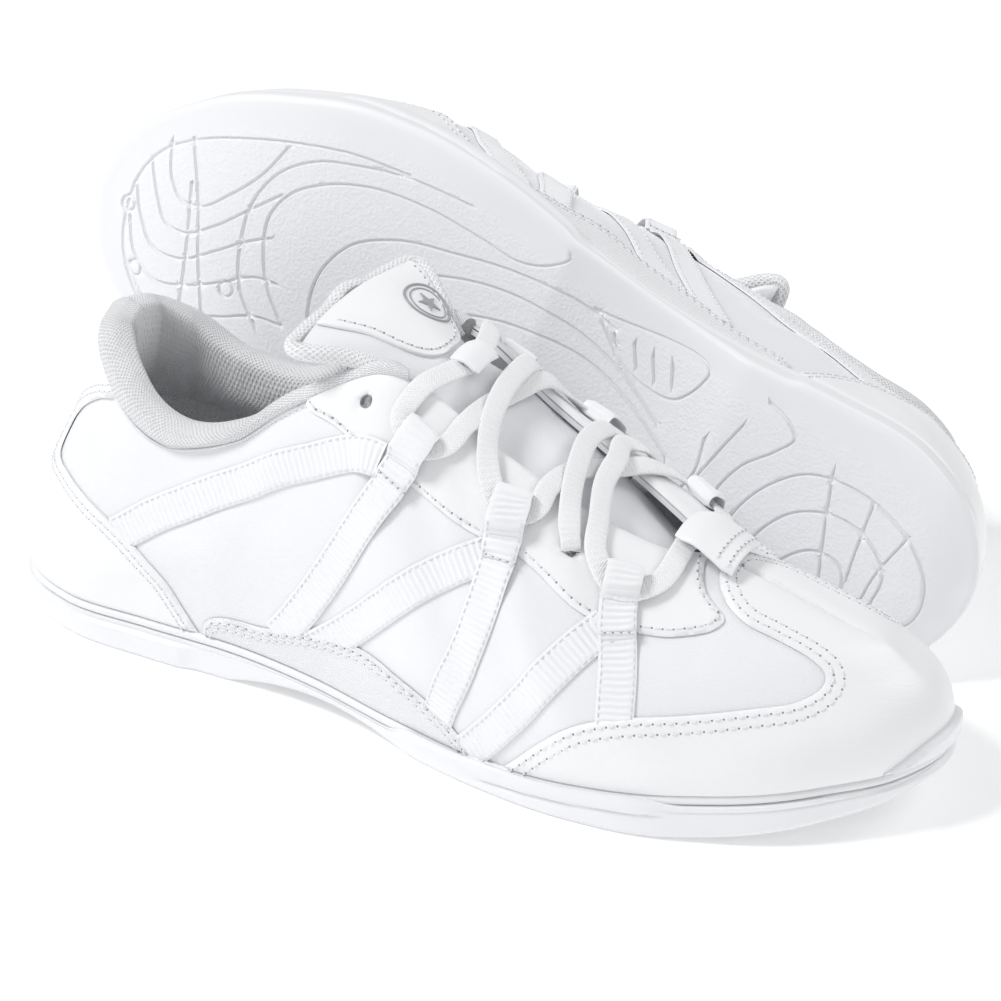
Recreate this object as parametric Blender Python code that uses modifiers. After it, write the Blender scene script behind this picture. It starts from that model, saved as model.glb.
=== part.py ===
"""A pair of low cheer shoes: the right one stands on its sole, the left one leans behind it on its side.

Each shoe is modelled once in millimetres in its own frame (x from heel to toe, y to the medial side,
z up from the floor) and the left shoe is the mirror image of the right one. The row's origin is on the
floor under the ball of the right shoe.
"""
import math

import bmesh
import bpy
import numpy as np
from mathutils import Euler, Vector
from mathutils.geometry import delaunay_2d_cdt

MM = 0.001
GAP = 0.3
COLLECTION = "cheer_shoes"

# ---------------------------------------------------------------- shape of the last (right shoe)
# A station is the fraction of the way round one side, from the back of the heel (0) to the toe (1).
STATIONS = (0, .07, .15, .25, .35, .45, .55, .65, .75, .85, .93, .97, 1)
FEATHER_LATERAL = ((-.5, 2), (6, -16), (24, -27.5), (50, -30), (78, -30), (104, -32.5),
                   (130, -38), (156, -44), (182, -46), (210, -41), (240, -25.5), (254.5, -10.5), (260, 6))
FEATHER_MEDIAL = ((-.5, 2), (6, 20), (24, 30), (50, 31.5), (78, 26.5), (104, 22.5),
                  (130, 25.5), (156, 35.5), (182, 42.5), (210, 42), (241, 33), (255.5, 21), (260, 6))
TOP_STATIONS = (0, .07, .15, .25, .35, .45, .5, .55, .65, .75, .79, .85, .93, 1)
TOP_LATERAL = ((23, 1, 83), (26, -10, 80.5), (37, -19, 72), (54, -23, 64.5), (74, -24, 70.5),
               (93, -22.5, 84.5), (112, -19.5, 95), (123, -18, 93.5), (146, -15.5, 79.5),
               (172, -12, 66), (186, -8, 60), (200, 0, 57), (217, 1, 52), (236, 2, 45))
TOP_MEDIAL = ((23, 1, 83), (26, 12, 80.5), (35, 20, 75), (50, 23.5, 66), (70, 24.5, 65),
              (90, 23.5, 80), (110, 20.5, 93), (121, 19, 92), (144, 16.5, 79),
              (171, 13, 66), (186, 9, 60), (200, 0, 57), (217, 1, 52), (236, 2, 45))
FLARE_LOW = (3, 3, 3, 3, 2.5, 2.5, 3, 3.5, 3.5, 3.5, 3.5, 3.2, 3)
RISE_LOW = (26, 26, 24, 24, 24, 26, 26, 22, 20, 18, 16, 15, 14)
FLARE_TOP_LATERAL = (1, 2, 3, 4, 6, 9, 12, 17, 22, 24, 20, 16, 13)
FLARE_TOP_MEDIAL = (1, 2, 3, 4, 6, 9, 12, 16, 18, 18, 16, 14, 12)
DROP_TOP = (24, 24, 20, 16, 14, 12, 9, 7, 4, 2, 2, 2.5, 3)
THROAT_END = .85

# ---------------------------------------------------------------- sole
SOLE_LENGTH = 262
SOLE_EDGE_X = (-2, 20, 45, 80, 100, 125, 150, 175, 200, 225, 245, 262)
SOLE_EDGE_Z = (9, 10.6, 11.6, 11.2, 10, 8.2, 8.2, 9.6, 11.8, 14, 16.3, 17.2)
OUTSOLE_FOOT_FLARE = .2
OUTSOLE_WALL_FLARE = 2.1
OUTSOLE_FOOT_ROUND = 1.8
MIDSOLE_FLARE = 1.4
BOARD_INSET = 3.4
LINER_INSET = 6.5
TOE_SPRING = 12
TOE_SPRING_START = 195
HEEL_BEVEL = 5
HEEL_BEVEL_END = 18
ARCH_LIFT = 4
ARCH_CENTRE = 103
ARCH_REACH = 28
MIDSOLE_THICKNESS = 2.4
BOARD_THICKNESS = 1.5
LINER_THICKNESS = 3.0
SOLE_STEPS = 48
SOLE_CROWDING = .6

# ---------------------------------------------------------------- layers of the upper
# Lattice that every layer's facets follow: columns every COLUMN round the shoe, closer at heel and toe.
COLUMN = .05
COLUMNS = sorted([k * COLUMN for k in range(-30, 31)] + [-1.025, -.975, -.025, .025, .975, 1.025])
ROWS = (0, .15, .3, .45, .6, .75, .88, 1)
SKIN = 1.5
OVERLAY_LIFT = .6
OVERLAY = 1.0
WEBBING = .9
WEBBING_HALF = 4.8
EYELET_RADIUS = 2.1
EYELETS = ((.497, .87), (.732, .80))
COLLAR_END = .45
COUNTER_DEPTH = 3.2
COUNTER = 1.2
LINING_DEPTH = 4.5
LINING = .8
BUMPER_LIFT = 2.0
BUMPER = 2.0
PANEL_SPLIT = .6
PANEL_SEAM = .002
HEEL_SEAM = .003
# Collar section, out to in: (height, depth) on the quarter, (depth, rise) over the rim.
COLLAR_OUTER = ((.6, 2.6), (.88, 2.4))
COLLAR_RIM = ((2.4, 1.5), (4.5, 3.4), (8.0, 1.0))
COLLAR_INNER = ((.84, 8.5), (.62, 6.0))

# Outlines as (station, height): height is 0 at the sole and 1 at the top edge.
HEEL_OVERLAY_SIDE = ((.305, 0), (.295, .06), (.27, .2), (.235, .32), (.188, .42), (.115, .475),
                     (.065, .5), (.05, .56), (.065, .66), (.10, .80), (.14, .93), (.15, 1))
SADDLE = ((.308, 0), (.312, .05), (.385, .12), (.443, .165), (.478, .175), (.537, .17),
          (.595, .12), (.625, .07), (.645, 0))
TOE_CAP_SIDE = ((.68, .015), (.722, .15), (.752, .24), (.797, .315), (.85, .35), (.895, .40),
                (.92, .43), (.937, .50), (.94, .57), (.932, .63), (.912, .69), (.885, .735),
                (.862, .83), (.855, .93), (.86, 1))
EYESTAY = ((.45, 1), (.455, .93), (.47, .84), (.49, .74), (.52, .68), (.557, .655), (.605, .645),
           (.64, .66), (.682, .68), (.71, .66), (.742, .62), (.77, .61), (.80, .625), (.83, .625),
           (.857, .66), (.868, .715), (.846, .82), (.838, .93), (.838, 1))
BUMPER_SIDE = ((.962, .02), (.972, .07), (.985, .13), (1, .165))
# Each webbing strap runs up from its first leg's foot to the eyestay and down again as a second leg,
# whose top stands off as the loop that holds the lace.
STRAPS = (
    (((.225, .46), (.261, .57), (.326, .70), (.395, .733), (.463, .72), (.53, .685)),
     ((.413, .20), (.50, .50), (.545, .69), (.566, .83))),
    (((.472, .23), (.55, .42), (.648, .62)), ((.612, .135), (.648, .45), (.665, .69), (.668, .84))),
    (((.655, .10), (.70, .33), (.77, .60)), ((.79, .335), (.786, .50), (.778, .66), (.774, .80))),
)

# ---------------------------------------------------------------- tongue (x, top z, half width, crown)
TONGUE_BASE = ((194, 51, 9, 5), (186, 55.5, 11, 5), (172, 65, 12.5, 5), (160, 72.5, 13, 5),
               (146, 80.5, 13.5, 5), (134, 88, 14, 5), (124.5, 94, 14.5, 5))
TONGUE_TOP = ((121.5, 96, 14.5, 5), (113, 101.5, 15.5, 5), (106.5, 105, 18.5, 5),
              (99.5, 107, 25, 4.5), (94, 108, 27, 4))
TONGUE_BASE_THICKNESS = 4.5
TONGUE_TOP_THICKNESS = 6
TONGUE_HINGE = (123, 92)
PATCH_STATIONS = (.34, .97)
PATCH_HALF_WIDTH = .86
PATCH_RISE = 1.5
EMBLEM_RADIUS = 5.5
EMBLEM_WIDTH = 1.6
EMBLEM_LIFT = (1.9, 2.7)
EMBLEM_STATION = .68

# Small sheets over the lace: (x, half width, z at the middle, drop at the sides).
TONGUE_LOOP_ROWS = ((126.5, 5.5, 97.2, .6), (129.5, 5.5, 97.2, .6), (132.5, 5.5, 95.5, .6))
KEEPER_ROWS = ((190.5, 8, 65.2, 1.2), (196, 8.5, 64.8, 1.2), (201, 9, 62.6, 1.4), (206, 9.5, 59.6, 1.6))

# ---------------------------------------------------------------- lace
LACE_RADIUS = 1.1
LACE_STEP = 4.6
# Points are ("L" or "M", station, height, lift off the upper) or (x, y, z).
LACE_ROUTE = (
    ("L", .63, .60, -6), ("L", .68, .64, -7), ("L", .722, .74, -7), ("L", .7315, .793, -4),
    ("L", .732, .80, -1), ("L", .732, .80, 2), ("L", .727, .85, 3.6), ("L", .722, .95, 3.6),
    (162, -4, 76.6), (160, 4, 77.4), ("M", .70, .95, 3.2), ("M", .692, .84, 3), ("M", .667, .775, 3),
    ("M", .642, .84, 3), ("M", .631, .95, 3.2), (139.5, 3, 86.7), (138.5, -3, 87.0),
    ("L", .605, .95, 3.2), ("L", .592, .84, 3), ("L", .565, .775, 3), ("L", .541, .84, 3),
    ("L", .552, .95, 3.2), (128.5, -8, 95.2), (129.5, 0, 94.2), (128.5, 8, 95.2),
    ("M", .552, .95, 3.2), ("M", .541, .84, 3), ("M", .565, .775, 3), ("M", .592, .84, 3),
    ("M", .605, .95, 3.2), (138.5, 3, 89.9), (139.5, -3, 89.7), ("L", .631, .95, 3.2),
    ("L", .642, .84, 3), ("L", .667, .775, 3), ("L", .692, .84, 3), ("L", .70, .95, 3.2),
    (162.5, -4, 73.8), (167.5, 6, 70.9), ("M", .748, .95, 3), ("M", .752, .82, 3), ("M", .775, .735, 3),
    ("M", .80, .80, 3), ("M", .812, .95, 3.4), (193, 5, 61.8), (194.5, 0, 61.6), (193, -5, 61.8),
    ("L", .812, .95, 3.4), ("L", .80, .80, 3), ("L", .775, .735, 3), ("L", .752, .82, 3),
    ("L", .748, .95, 3), (169, -3, 72.2), (168, 5, 73.6), ("M", .722, .95, 3.6), ("M", .727, .85, 3.6),
    ("M", .732, .80, 2), ("M", .732, .80, -1), ("M", .7315, .793, -4), ("M", .722, .74, -7),
    ("M", .68, .64, -7), ("M", .63, .60, -6),
)

# ---------------------------------------------------------------- how the pair lies
BALL_X = 160
LEFT_PIVOT_X = 131
LEFT_PLACE = (117.7, 48.5, 66.4)
LEFT_TURN_DEG = (104.4, -16.3, 184.2)

COLOURS = {
    "satin": ((.88, .89, .91), .35, 0),
    "leather": ((.90, .90, .90), .45, 0),
    "webbing": ((.84, .85, .86), .75, 0),
    "mesh": ((.80, .81, .83), .9, 0),
    "lining": ((.30, .31, .33), .95, 0),
    "rubber": ((.86, .87, .88), .55, 0),
    "foam": ((.90, .90, .89), .7, 0),
    "board": ((.75, .72, .66), .85, 0),
    "stiffener": ((.80, .79, .75), .6, 0),
    "lace": ((.93, .93, .93), .8, 0),
    "emblem": ((.25, .26, .28), .4, 0),
}


# ---------------------------------------------------------------- surface of the upper
def spline(knots, values, t):
    """Smooth curve through values at knots, read at t."""
    knots = np.asarray(knots, float)
    values = np.asarray(values, float)
    flat = values.reshape(len(knots), -1)
    step = np.diff(knots)
    slope = np.diff(flat, axis=0) / step[:, None]
    blend = (step[:-1] / (step[:-1] + step[1:]))[:, None]
    inner = slope[:-1] * (1 - blend) + slope[1:] * blend
    tangent = np.vstack([slope[:1], inner, slope[-1:]])
    t = np.clip(np.asarray(t, float), knots[0], knots[-1])
    i = np.clip(np.searchsorted(knots, t, side="right") - 1, 0, len(knots) - 2)
    h = step[i][..., None]
    u = (t - knots[i])[..., None] / h
    result = ((1 + 2 * u) * (1 - u) ** 2 * flat[i] + u * (1 - u) ** 2 * h * tangent[i]
              + u * u * (3 - 2 * u) * flat[i + 1] - u * u * (1 - u) * h * tangent[i + 1])
    return result.reshape(t.shape + values.shape[1:])


def wrap(s):
    """Bring a place round the shoe into -1..1: below zero is lateral, above zero is medial."""
    return (np.asarray(s, float) + 1) % 2 - 1


def unit(v):
    return v / np.maximum(np.linalg.norm(v, axis=-1, keepdims=True), 1e-9)


def all_round(lateral, medial, s):
    """Smooth closed curve through one side's values and the other's, read at s in -1..1."""
    knots = [-p for p in reversed(STATIONS)] + list(STATIONS[1:])
    values = list(reversed(lateral)) + list(medial[1:])
    knots = [STATIONS[-2] - 2] + knots + [2 - STATIONS[-2]]
    values = [medial[-2]] + values + [lateral[-2]]
    return spline(knots, values, s)


def feather(s):
    """The edge where the upper meets the sole."""
    plan = all_round(FEATHER_LATERAL, FEATHER_MEDIAL, wrap(s))
    height = spline(SOLE_EDGE_X, SOLE_EDGE_Z, plan[..., 0])
    return np.concatenate([plan, height[..., None]], -1)


def topline(s):
    """The collar's rim, the throat's edge and, past THROAT_END, the ridge over the toes."""
    s = wrap(s)
    p = np.abs(s)
    lateral = spline(TOP_STATIONS, TOP_LATERAL, p)
    medial = spline(TOP_STATIONS, TOP_MEDIAL, p)
    rim = np.where((s < 0)[..., None], lateral, medial)
    return np.where((p > THROAT_END - 1e-6)[..., None], (lateral + medial) / 2, rim)


def outward(s):
    """Level direction out of the shoe at the sole's edge."""
    along = feather(np.add(s, .002)) - feather(np.subtract(s, .002))
    out = unit(np.stack([-along[..., 1], along[..., 0], 0 * along[..., 0]], -1))
    return out * np.sign(((feather(s) - (130, 0, 0)) * out).sum(-1, keepdims=True))


def upper(s, w):
    """A point of the upper's outer face: s round the shoe, w up from the sole (0) to the top (1)."""
    s, w = np.broadcast_arrays(np.asarray(s, float), np.asarray(w, float))
    side = wrap(s)
    p = np.abs(side)
    low = feather(s)
    top = topline(s)
    out = outward(s)
    lean = np.clip((p - .3) / .3, 0, 1)[..., None]
    away = unit(out * (1 - lean) + unit((low - top) * (1, 1, 0)) * lean)
    lateral, medial = spline(STATIONS, FLARE_TOP_LATERAL, p), spline(STATIONS, FLARE_TOP_MEDIAL, p)
    flare = np.where(side < 0, lateral, medial)
    up = np.array((0, 0, 1.))
    swell = out * spline(STATIONS, FLARE_LOW, p)[..., None]
    first = low + swell + up * spline(STATIONS, RISE_LOW, p)[..., None]
    second = top + away * flare[..., None] - up * spline(STATIONS, DROP_TOP, p)[..., None]
    w = w[..., None]
    v = 1 - w
    return v ** 3 * low + 3 * v * v * w * first + 3 * v * w * w * second + w ** 3 * top


def side_normal(s, w):
    e = .004
    w = np.clip(w, e, 1 - e)
    along = upper(np.add(s, e), w) - upper(np.subtract(s, e), w)
    rise = upper(s, w + e) - upper(s, w - e)
    return unit(np.cross(rise, along))


def upper_normal(s, w):
    """Outward normal, shared by both sides along the ridge over the toes."""
    s, w = np.broadcast_arrays(np.asarray(s, float), np.asarray(w, float))
    own = side_normal(s, w)
    ridge = (w > .995) & (np.abs(wrap(s)) > THROAT_END - .001)
    both = unit(own + side_normal(-s, w))
    return np.where(ridge[..., None], both, own)


def sole_bottom(x):
    """Height of the tread above the floor: heel bevel, arch and toe spring."""
    toe = np.clip((x - TOE_SPRING_START) / (SOLE_LENGTH - TOE_SPRING_START), 0, 1) ** 2 * TOE_SPRING
    heel = np.clip((HEEL_BEVEL_END - x) / HEEL_BEVEL_END, 0, 1) ** 2 * HEEL_BEVEL
    arch = np.clip(1 - ((x - ARCH_CENTRE) / ARCH_REACH) ** 2, 0, 1) * ARCH_LIFT
    return toe + heel + arch


def smooth(t):
    t = np.clip(t, 0, 1)
    return t * t * (3 - 2 * t)


def webbing_lift(s, w):
    """Webbing lies on the quarter, steps over the eyestay and stands off as a loop at its top."""
    p = np.abs(s)
    step = 1.8 * smooth((w - .44) / .13) * smooth((p - .42) / .05)
    return OVERLAY_LIFT + step + 3.2 * smooth((w - .66) / .05) * smooth((p - .495) / .03)


# ---------------------------------------------------------------- outlines
def mirrored_outline(side_points):
    """Close a half outline across the back of the heel."""
    return tuple((-p, w) for p, w in side_points) + tuple((p, w) for p, w in reversed(side_points))


def toe_outline(side_points):
    """Close a half outline across the toe, where places run on past 1."""
    return tuple(side_points) + tuple((2 - p, w) for p, w in reversed(side_points))


def ribbon(points, half_width, sign):
    """Outline of a strip of even width whose middle follows points on one side of the upper."""
    t = np.linspace(0, 1, 2 * len(points) + 1)
    line = spline(np.linspace(0, 1, len(points)), points, t) * (sign, 1)
    s, w = line[:, 0], line[:, 1]
    e = .002
    ds = (upper(s + e, w) - upper(s - e, w)) / (2 * e)
    dw = (upper(s, w + e) - upper(s, w - e)) / (2 * e)
    step = np.gradient(line, axis=0)
    forward = unit(ds * step[:, :1] + dw * step[:, 1:])
    across = unit(np.cross(side_normal(s, w), forward)) * half_width
    left, right = [], []
    for i in range(len(t)):
        move = np.linalg.lstsq(np.stack([ds[i], dw[i]], 1), across[i], rcond=None)[0]
        left.append(tuple(line[i] + move))
        right.append(tuple(line[i] - move))
    return tuple(left + right[::-1])


def circle_on_upper(station, height, radius, sign, sides=6):
    s = station * sign
    e = .002
    ds = np.linalg.norm(upper(s + e, height) - upper(s - e, height)) / (2 * e)
    dw = np.linalg.norm(upper(s, height + e) - upper(s, height - e)) / (2 * e)
    turn = np.arange(sides) * 2 * math.pi / sides
    return tuple(zip(s + np.cos(turn) * radius / ds, height + np.sin(turn) * radius / dw))


def with_lattice_crossings(outline):
    """Add a point wherever the outline crosses a lattice line, so that layers share their facets."""
    result = []
    for (s0, w0), (s1, w1) in zip(outline, outline[1:] + outline[:1]):
        cuts = {0.0}
        if abs(s1 - s0) > 1e-9:
            low, high = sorted((s0, s1))
            cuts |= {(column - s0) / (s1 - s0) for column in COLUMNS if low <= column <= high}
        if abs(w1 - w0) > 1e-9:
            cuts |= {(row - w0) / (w1 - w0) for row in ROWS}
        kept = [t for t in sorted(cuts) if -1e-9 < t < 1 - 1e-6]
        last_t = -1
        for t in kept:
            if t - last_t > .03:
                result.append((s0 + (s1 - s0) * t, w0 + (w1 - w0) * t))
                last_t = t
    return tuple(result)


WEIGHT = np.array((260., 75.))


def inside(point, outline):
    x, y = point
    hit = False
    for (x0, y0), (x1, y1) in zip(outline, outline[1:] + outline[:1]):
        if (y0 > y) != (y1 > y) and x < (x1 - x0) * (y - y0) / (y1 - y0) + x0:
            hit = not hit
    return hit


def edge_distance(point, outline):
    p = np.array(point) * WEIGHT
    a = np.array(outline) * WEIGHT
    b = np.roll(a, -1, axis=0)
    d = b - a
    t = np.clip(((p - a) * d).sum(1) / np.maximum((d * d).sum(1), 1e-12), 0, 1)
    return np.linalg.norm(a + d * t[:, None] - p, axis=1).min()


def lattice_inside(outlines, holes):
    s_low = min(s for outline in outlines for s, w in outline)
    s_high = max(s for outline in outlines for s, w in outline)
    points = []
    for column in (c for c in COLUMNS if s_low <= c <= s_high):
        for row in ROWS:
            point = (column, row)
            covered = any(inside(point, o) for o in outlines)
            clear = all(edge_distance(point, o) > 1.6 for o in outlines + holes)
            if covered and clear and not any(inside(point, h) for h in holes):
                points.append(point)
    return points


def triangulate(outlines, holes=()):
    """Triangles in (s, w) that cover the union of the outlines, less the holes."""
    outlines = tuple(with_lattice_crossings(o) for o in outlines)
    holes = tuple(holes)
    points, faces, edges = [], [], []
    for loop in outlines + holes:
        start = len(points)
        points += [Vector((s * WEIGHT[0], w * WEIGHT[1])) for s, w in loop]
        ring = list(range(start, len(points)))
        edges += list(zip(ring, ring[1:] + ring[:1]))
        if loop in outlines:
            faces.append(ring)
    points += [Vector((s * WEIGHT[0], w * WEIGHT[1])) for s, w in lattice_inside(outlines, holes)]
    verts, _, tris, _, _, _ = delaunay_2d_cdt(points, edges, faces, 1, 1e-4)
    flat = [(v.x / WEIGHT[0], v.y / WEIGHT[1]) for v in verts]
    kept = []
    for tri in tris:
        centre = tuple(np.mean([flat[i] for i in tri], axis=0))
        if not any(inside(centre, hole) for hole in holes):
            kept.append(list(tri))
    return np.array(flat), kept


# ---------------------------------------------------------------- objects
class Shoe:
    """One shoe: its name, which hand it is (1 right, -1 left) and the empties its pieces hang from."""

    def __init__(self, side, hand, collection):
        self.side = side
        self.hand = hand
        self.collection = collection
        self.frame = self.empty("frame")
        self.hinge = self.empty("tongue_hinge")
        self.hinge.parent = self.frame
        self.hinge_at = np.array((TONGUE_HINGE[0] - BALL_X, 0, TONGUE_HINGE[1]), float)
        self.hinge.location = self.hinge_at * MM

    def empty(self, name):
        holder = bpy.data.objects.new(f"{self.side}_{name}", None)
        self.collection.objects.link(holder)
        return holder

    def local(self, points):
        """Shoe millimetres to this shoe's frame, whose origin is under the ball of the foot."""
        points = np.asarray(points, float) - (BALL_X, 0, 0)
        return points * (1, self.hand, 1)

    def place(self, obj, name, slot, on_tongue=False):
        obj.name = f"{self.side}_{name}"
        obj.data.materials.append(material(slot))
        self.collection.objects.link(obj)
        obj.parent = self.hinge if on_tongue else self.frame
        return obj

    def mesh_piece(self, name, points, faces, slot, on_tongue=False):
        """Object from shoe-millimetre points. Faces turn their outside out on a right shoe."""
        points = self.local(points)
        if on_tongue:
            points = points - self.hinge_at
        if self.hand < 0:
            faces = [list(face)[::-1] for face in faces]
        mesh = bpy.data.meshes.new(name)
        mesh.from_pydata([tuple(p * MM) for p in points], [], faces)
        weld(mesh)
        mesh.shade_smooth()
        mesh.set_sharp_from_angle(angle=math.radians(40))
        return self.place(bpy.data.objects.new(name, mesh), name, slot, on_tongue)


def weld(mesh):
    shape = bmesh.new()
    shape.from_mesh(mesh)
    bmesh.ops.remove_doubles(shape, verts=shape.verts, dist=.00005)
    shape.to_mesh(mesh)
    shape.free()


def material(slot):
    found = bpy.data.materials.get(slot)
    if found:
        return found
    colour, roughness, metallic = COLOURS[slot]
    made = bpy.data.materials.new(slot)
    made.use_nodes = True
    shader = made.node_tree.nodes["Principled BSDF"]
    shader.inputs["Base Color"].default_value = (*colour, 1)
    shader.inputs["Roughness"].default_value = roughness
    shader.inputs["Metallic"].default_value = metallic
    return made


def thicken(obj, thickness, outwards=1):
    shell = obj.modifiers.new("thickness", "SOLIDIFY")
    shell.thickness = thickness * MM
    shell.offset = outwards
    return obj


def panel(shoe, name, outlines, low, thickness, slot, holes=()):
    """Sheet on the upper whose inner face stands low off the last; low may be a function of (s, w)."""
    flat, faces = triangulate(outlines, holes)
    s, w = flat[:, 0], flat[:, 1]
    lift = low(s, w) if callable(low) else np.full(len(s), low)
    points = upper(s, w) + upper_normal(s, w) * lift[:, None]
    faces = [face[::-1] for face in faces]
    return thicken(shoe.mesh_piece(name, points, faces, slot), thickness)


def tube_faces(rings, count):
    """Quads between one closed ring of count points and the next."""
    faces = []
    for r in range(rings - 1):
        for i in range(count):
            j = (i + 1) % count
            faces.append((r * count + i, r * count + j, (r + 1) * count + j, (r + 1) * count + i))
    return faces


def slab_faces(rings, count):
    """Faces of a slab whose rings run clockwise seen from above, with its two ends filled by strips."""
    faces = [face[::-1] for face in tube_faces(rings, count)]
    last = (rings - 1) * count
    for k in range(count // 2):
        strip = [k, k + 1, count - 1 - k, (count - k) % count]
        strip = list(dict.fromkeys(strip))
        faces.append(tuple(strip))
        faces.append(tuple(last + v for v in reversed(strip)))
    return faces


def sole_ring(flare, height):
    """Closed ring round the sole, flare outside the feather edge, at height(x); closer at heel and toe."""
    turn = np.linspace(0, 2, SOLE_STEPS, endpoint=False)
    s = turn - SOLE_CROWDING * np.sin(2 * math.pi * turn) / (2 * math.pi)
    points = feather(s) + outward(s) * flare
    points[:, 2] = height(points[:, 0])
    return points


def edge_height(x):
    return spline(SOLE_EDGE_X, SOLE_EDGE_Z, x)


def slab(shoe, name, rings, slot):
    count = len(rings[0])
    return shoe.mesh_piece(name, np.vstack(rings), slab_faces(len(rings), count), slot)


# ---------------------------------------------------------------- sole unit
def make_outsole(shoe):
    top_drop = MIDSOLE_THICKNESS + 2 * GAP
    rings = [sole_ring(OUTSOLE_FOOT_FLARE, sole_bottom),
             sole_ring(OUTSOLE_WALL_FLARE, lambda x: sole_bottom(x) + OUTSOLE_FOOT_ROUND),
             sole_ring(OUTSOLE_WALL_FLARE, lambda x: edge_height(x) - top_drop)]
    slab(shoe, "outsole", rings, "rubber")


def make_midsole(shoe):
    rings = [sole_ring(MIDSOLE_FLARE, lambda x: edge_height(x) - GAP - MIDSOLE_THICKNESS),
             sole_ring(MIDSOLE_FLARE, lambda x: edge_height(x) - GAP)]
    slab(shoe, "midsole", rings, "foam")


def make_board(shoe):
    rings = [sole_ring(-BOARD_INSET, edge_height),
             sole_ring(-BOARD_INSET, lambda x: edge_height(x) + BOARD_THICKNESS)]
    slab(shoe, "insole_board", rings, "board")


def make_sock_liner(shoe):
    low = BOARD_THICKNESS + GAP
    rings = [sole_ring(-LINER_INSET, lambda x: edge_height(x) + low),
             sole_ring(-LINER_INSET, lambda x: edge_height(x) + low + LINER_THICKNESS)]
    slab(shoe, "sock_liner", rings, "mesh")


def make_toe_bumper(shoe):
    outline = toe_outline(BUMPER_SIDE)
    panel(shoe, "toe_bumper", (outline,), BUMPER_LIFT, BUMPER, "rubber")


# ---------------------------------------------------------------- upper
def box_outline(s0, s1, w0, w1):
    return ((s0, w0), (s1, w0), (s1, w1), (s0, w1))


def make_quarters(shoe):
    for label, sign in (("lateral", -1), ("medial", 1)):
        hole = circle_on_upper(*EYELETS[0], EYELET_RADIUS, sign)
        outline = box_outline(*sorted((HEEL_SEAM * sign, (PANEL_SPLIT - PANEL_SEAM) * sign)), 0, 1)
        panel(shoe, f"quarter_{label}", (outline,), -SKIN, SKIN, "satin", (hole,))


def make_vamp(shoe):
    medial = circle_on_upper(*EYELETS[1], EYELET_RADIUS, 1)
    lateral = tuple((2 + s, w) for s, w in circle_on_upper(*EYELETS[1], EYELET_RADIUS, -1))
    start = PANEL_SPLIT + PANEL_SEAM
    panel(shoe, "vamp", (box_outline(start, 2 - start, 0, 1),), -SKIN, SKIN, "satin", (medial, lateral))


def make_overlays(shoe):
    for label, sign in (("lateral", -1), ("medial", 1)):
        holes = tuple(circle_on_upper(*e, EYELET_RADIUS, sign) for e in EYELETS)
        eyestay = tuple((p * sign, w) for p, w in EYESTAY)
        saddle = tuple((p * sign, w) for p, w in SADDLE)
        panel(shoe, f"eyestay_{label}", (eyestay,), OVERLAY_LIFT, OVERLAY, "leather", holes)
        panel(shoe, f"saddle_{label}", (saddle,), OVERLAY_LIFT, OVERLAY, "webbing")
    panel(shoe, "heel_overlay", (mirrored_outline(HEEL_OVERLAY_SIDE),), OVERLAY_LIFT, OVERLAY, "leather")
    panel(shoe, "toe_cap", (toe_outline(TOE_CAP_SIDE),), OVERLAY_LIFT, OVERLAY, "leather")


def make_straps(shoe):
    for label, sign in (("lateral", -1), ("medial", 1)):
        for number, (first, second) in enumerate(STRAPS, 1):
            outlines = (ribbon(first, WEBBING_HALF, sign), ribbon(second, WEBBING_HALF, sign))
            panel(shoe, f"strap_{label}_{number}", outlines, webbing_lift, WEBBING, "webbing")


def make_inner_layers(shoe):
    panel(shoe, "heel_counter", (box_outline(-.24, .24, .05, .55),), -COUNTER_DEPTH, COUNTER, "stiffener")
    panel(shoe, "lining", (box_outline(-.58, .58, .07, .56),), -LINING_DEPTH, LINING, "lining")


def make_collar_padding(shoe):
    """Padded knitted collar: a roll along the rim and down inside the quarters."""
    stations = [column for column in COLUMNS if abs(column) < COLLAR_END + 1e-6]
    sections = []
    for s in stations:
        rim = topline(s)
        out = unit(upper_normal(s, .97) * (1, 1, 0))
        section = [upper(s, w) - upper_normal(s, w) * d for w, d in COLLAR_OUTER]
        section += [rim - out * d + (0, 0, z) for d, z in COLLAR_RIM]
        section += [upper(s, w) - upper_normal(s, w) * d for w, d in COLLAR_INNER]
        sections.append(section)
    count = len(sections[0])
    points = np.array(sections).reshape(-1, 3)
    faces = tube_faces(len(stations), count)
    last = (len(stations) - 1) * count
    faces.append(tuple(reversed(range(count))))
    faces.append(tuple(last + i for i in range(count)))
    shoe.mesh_piece("collar_padding", points, faces, "mesh")


# ---------------------------------------------------------------- tongue and lace
def tongue_frame(stations, t, across):
    """Point of the tongue's upper face, at t along its stations and across in -1..1."""
    x, z, half, crown = spline(np.linspace(0, 1, len(stations)), stations, t)
    return np.array((x, across * half, z - crown * across * across))


def tongue_down(stations, t):
    a, b = tongue_frame(stations, max(t - .02, 0), 0), tongue_frame(stations, min(t + .02, 1), 0)
    along = unit(b - a)
    return np.array((along[2], 0, -along[0])) * (1 if along[0] > 0 else -1)


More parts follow.
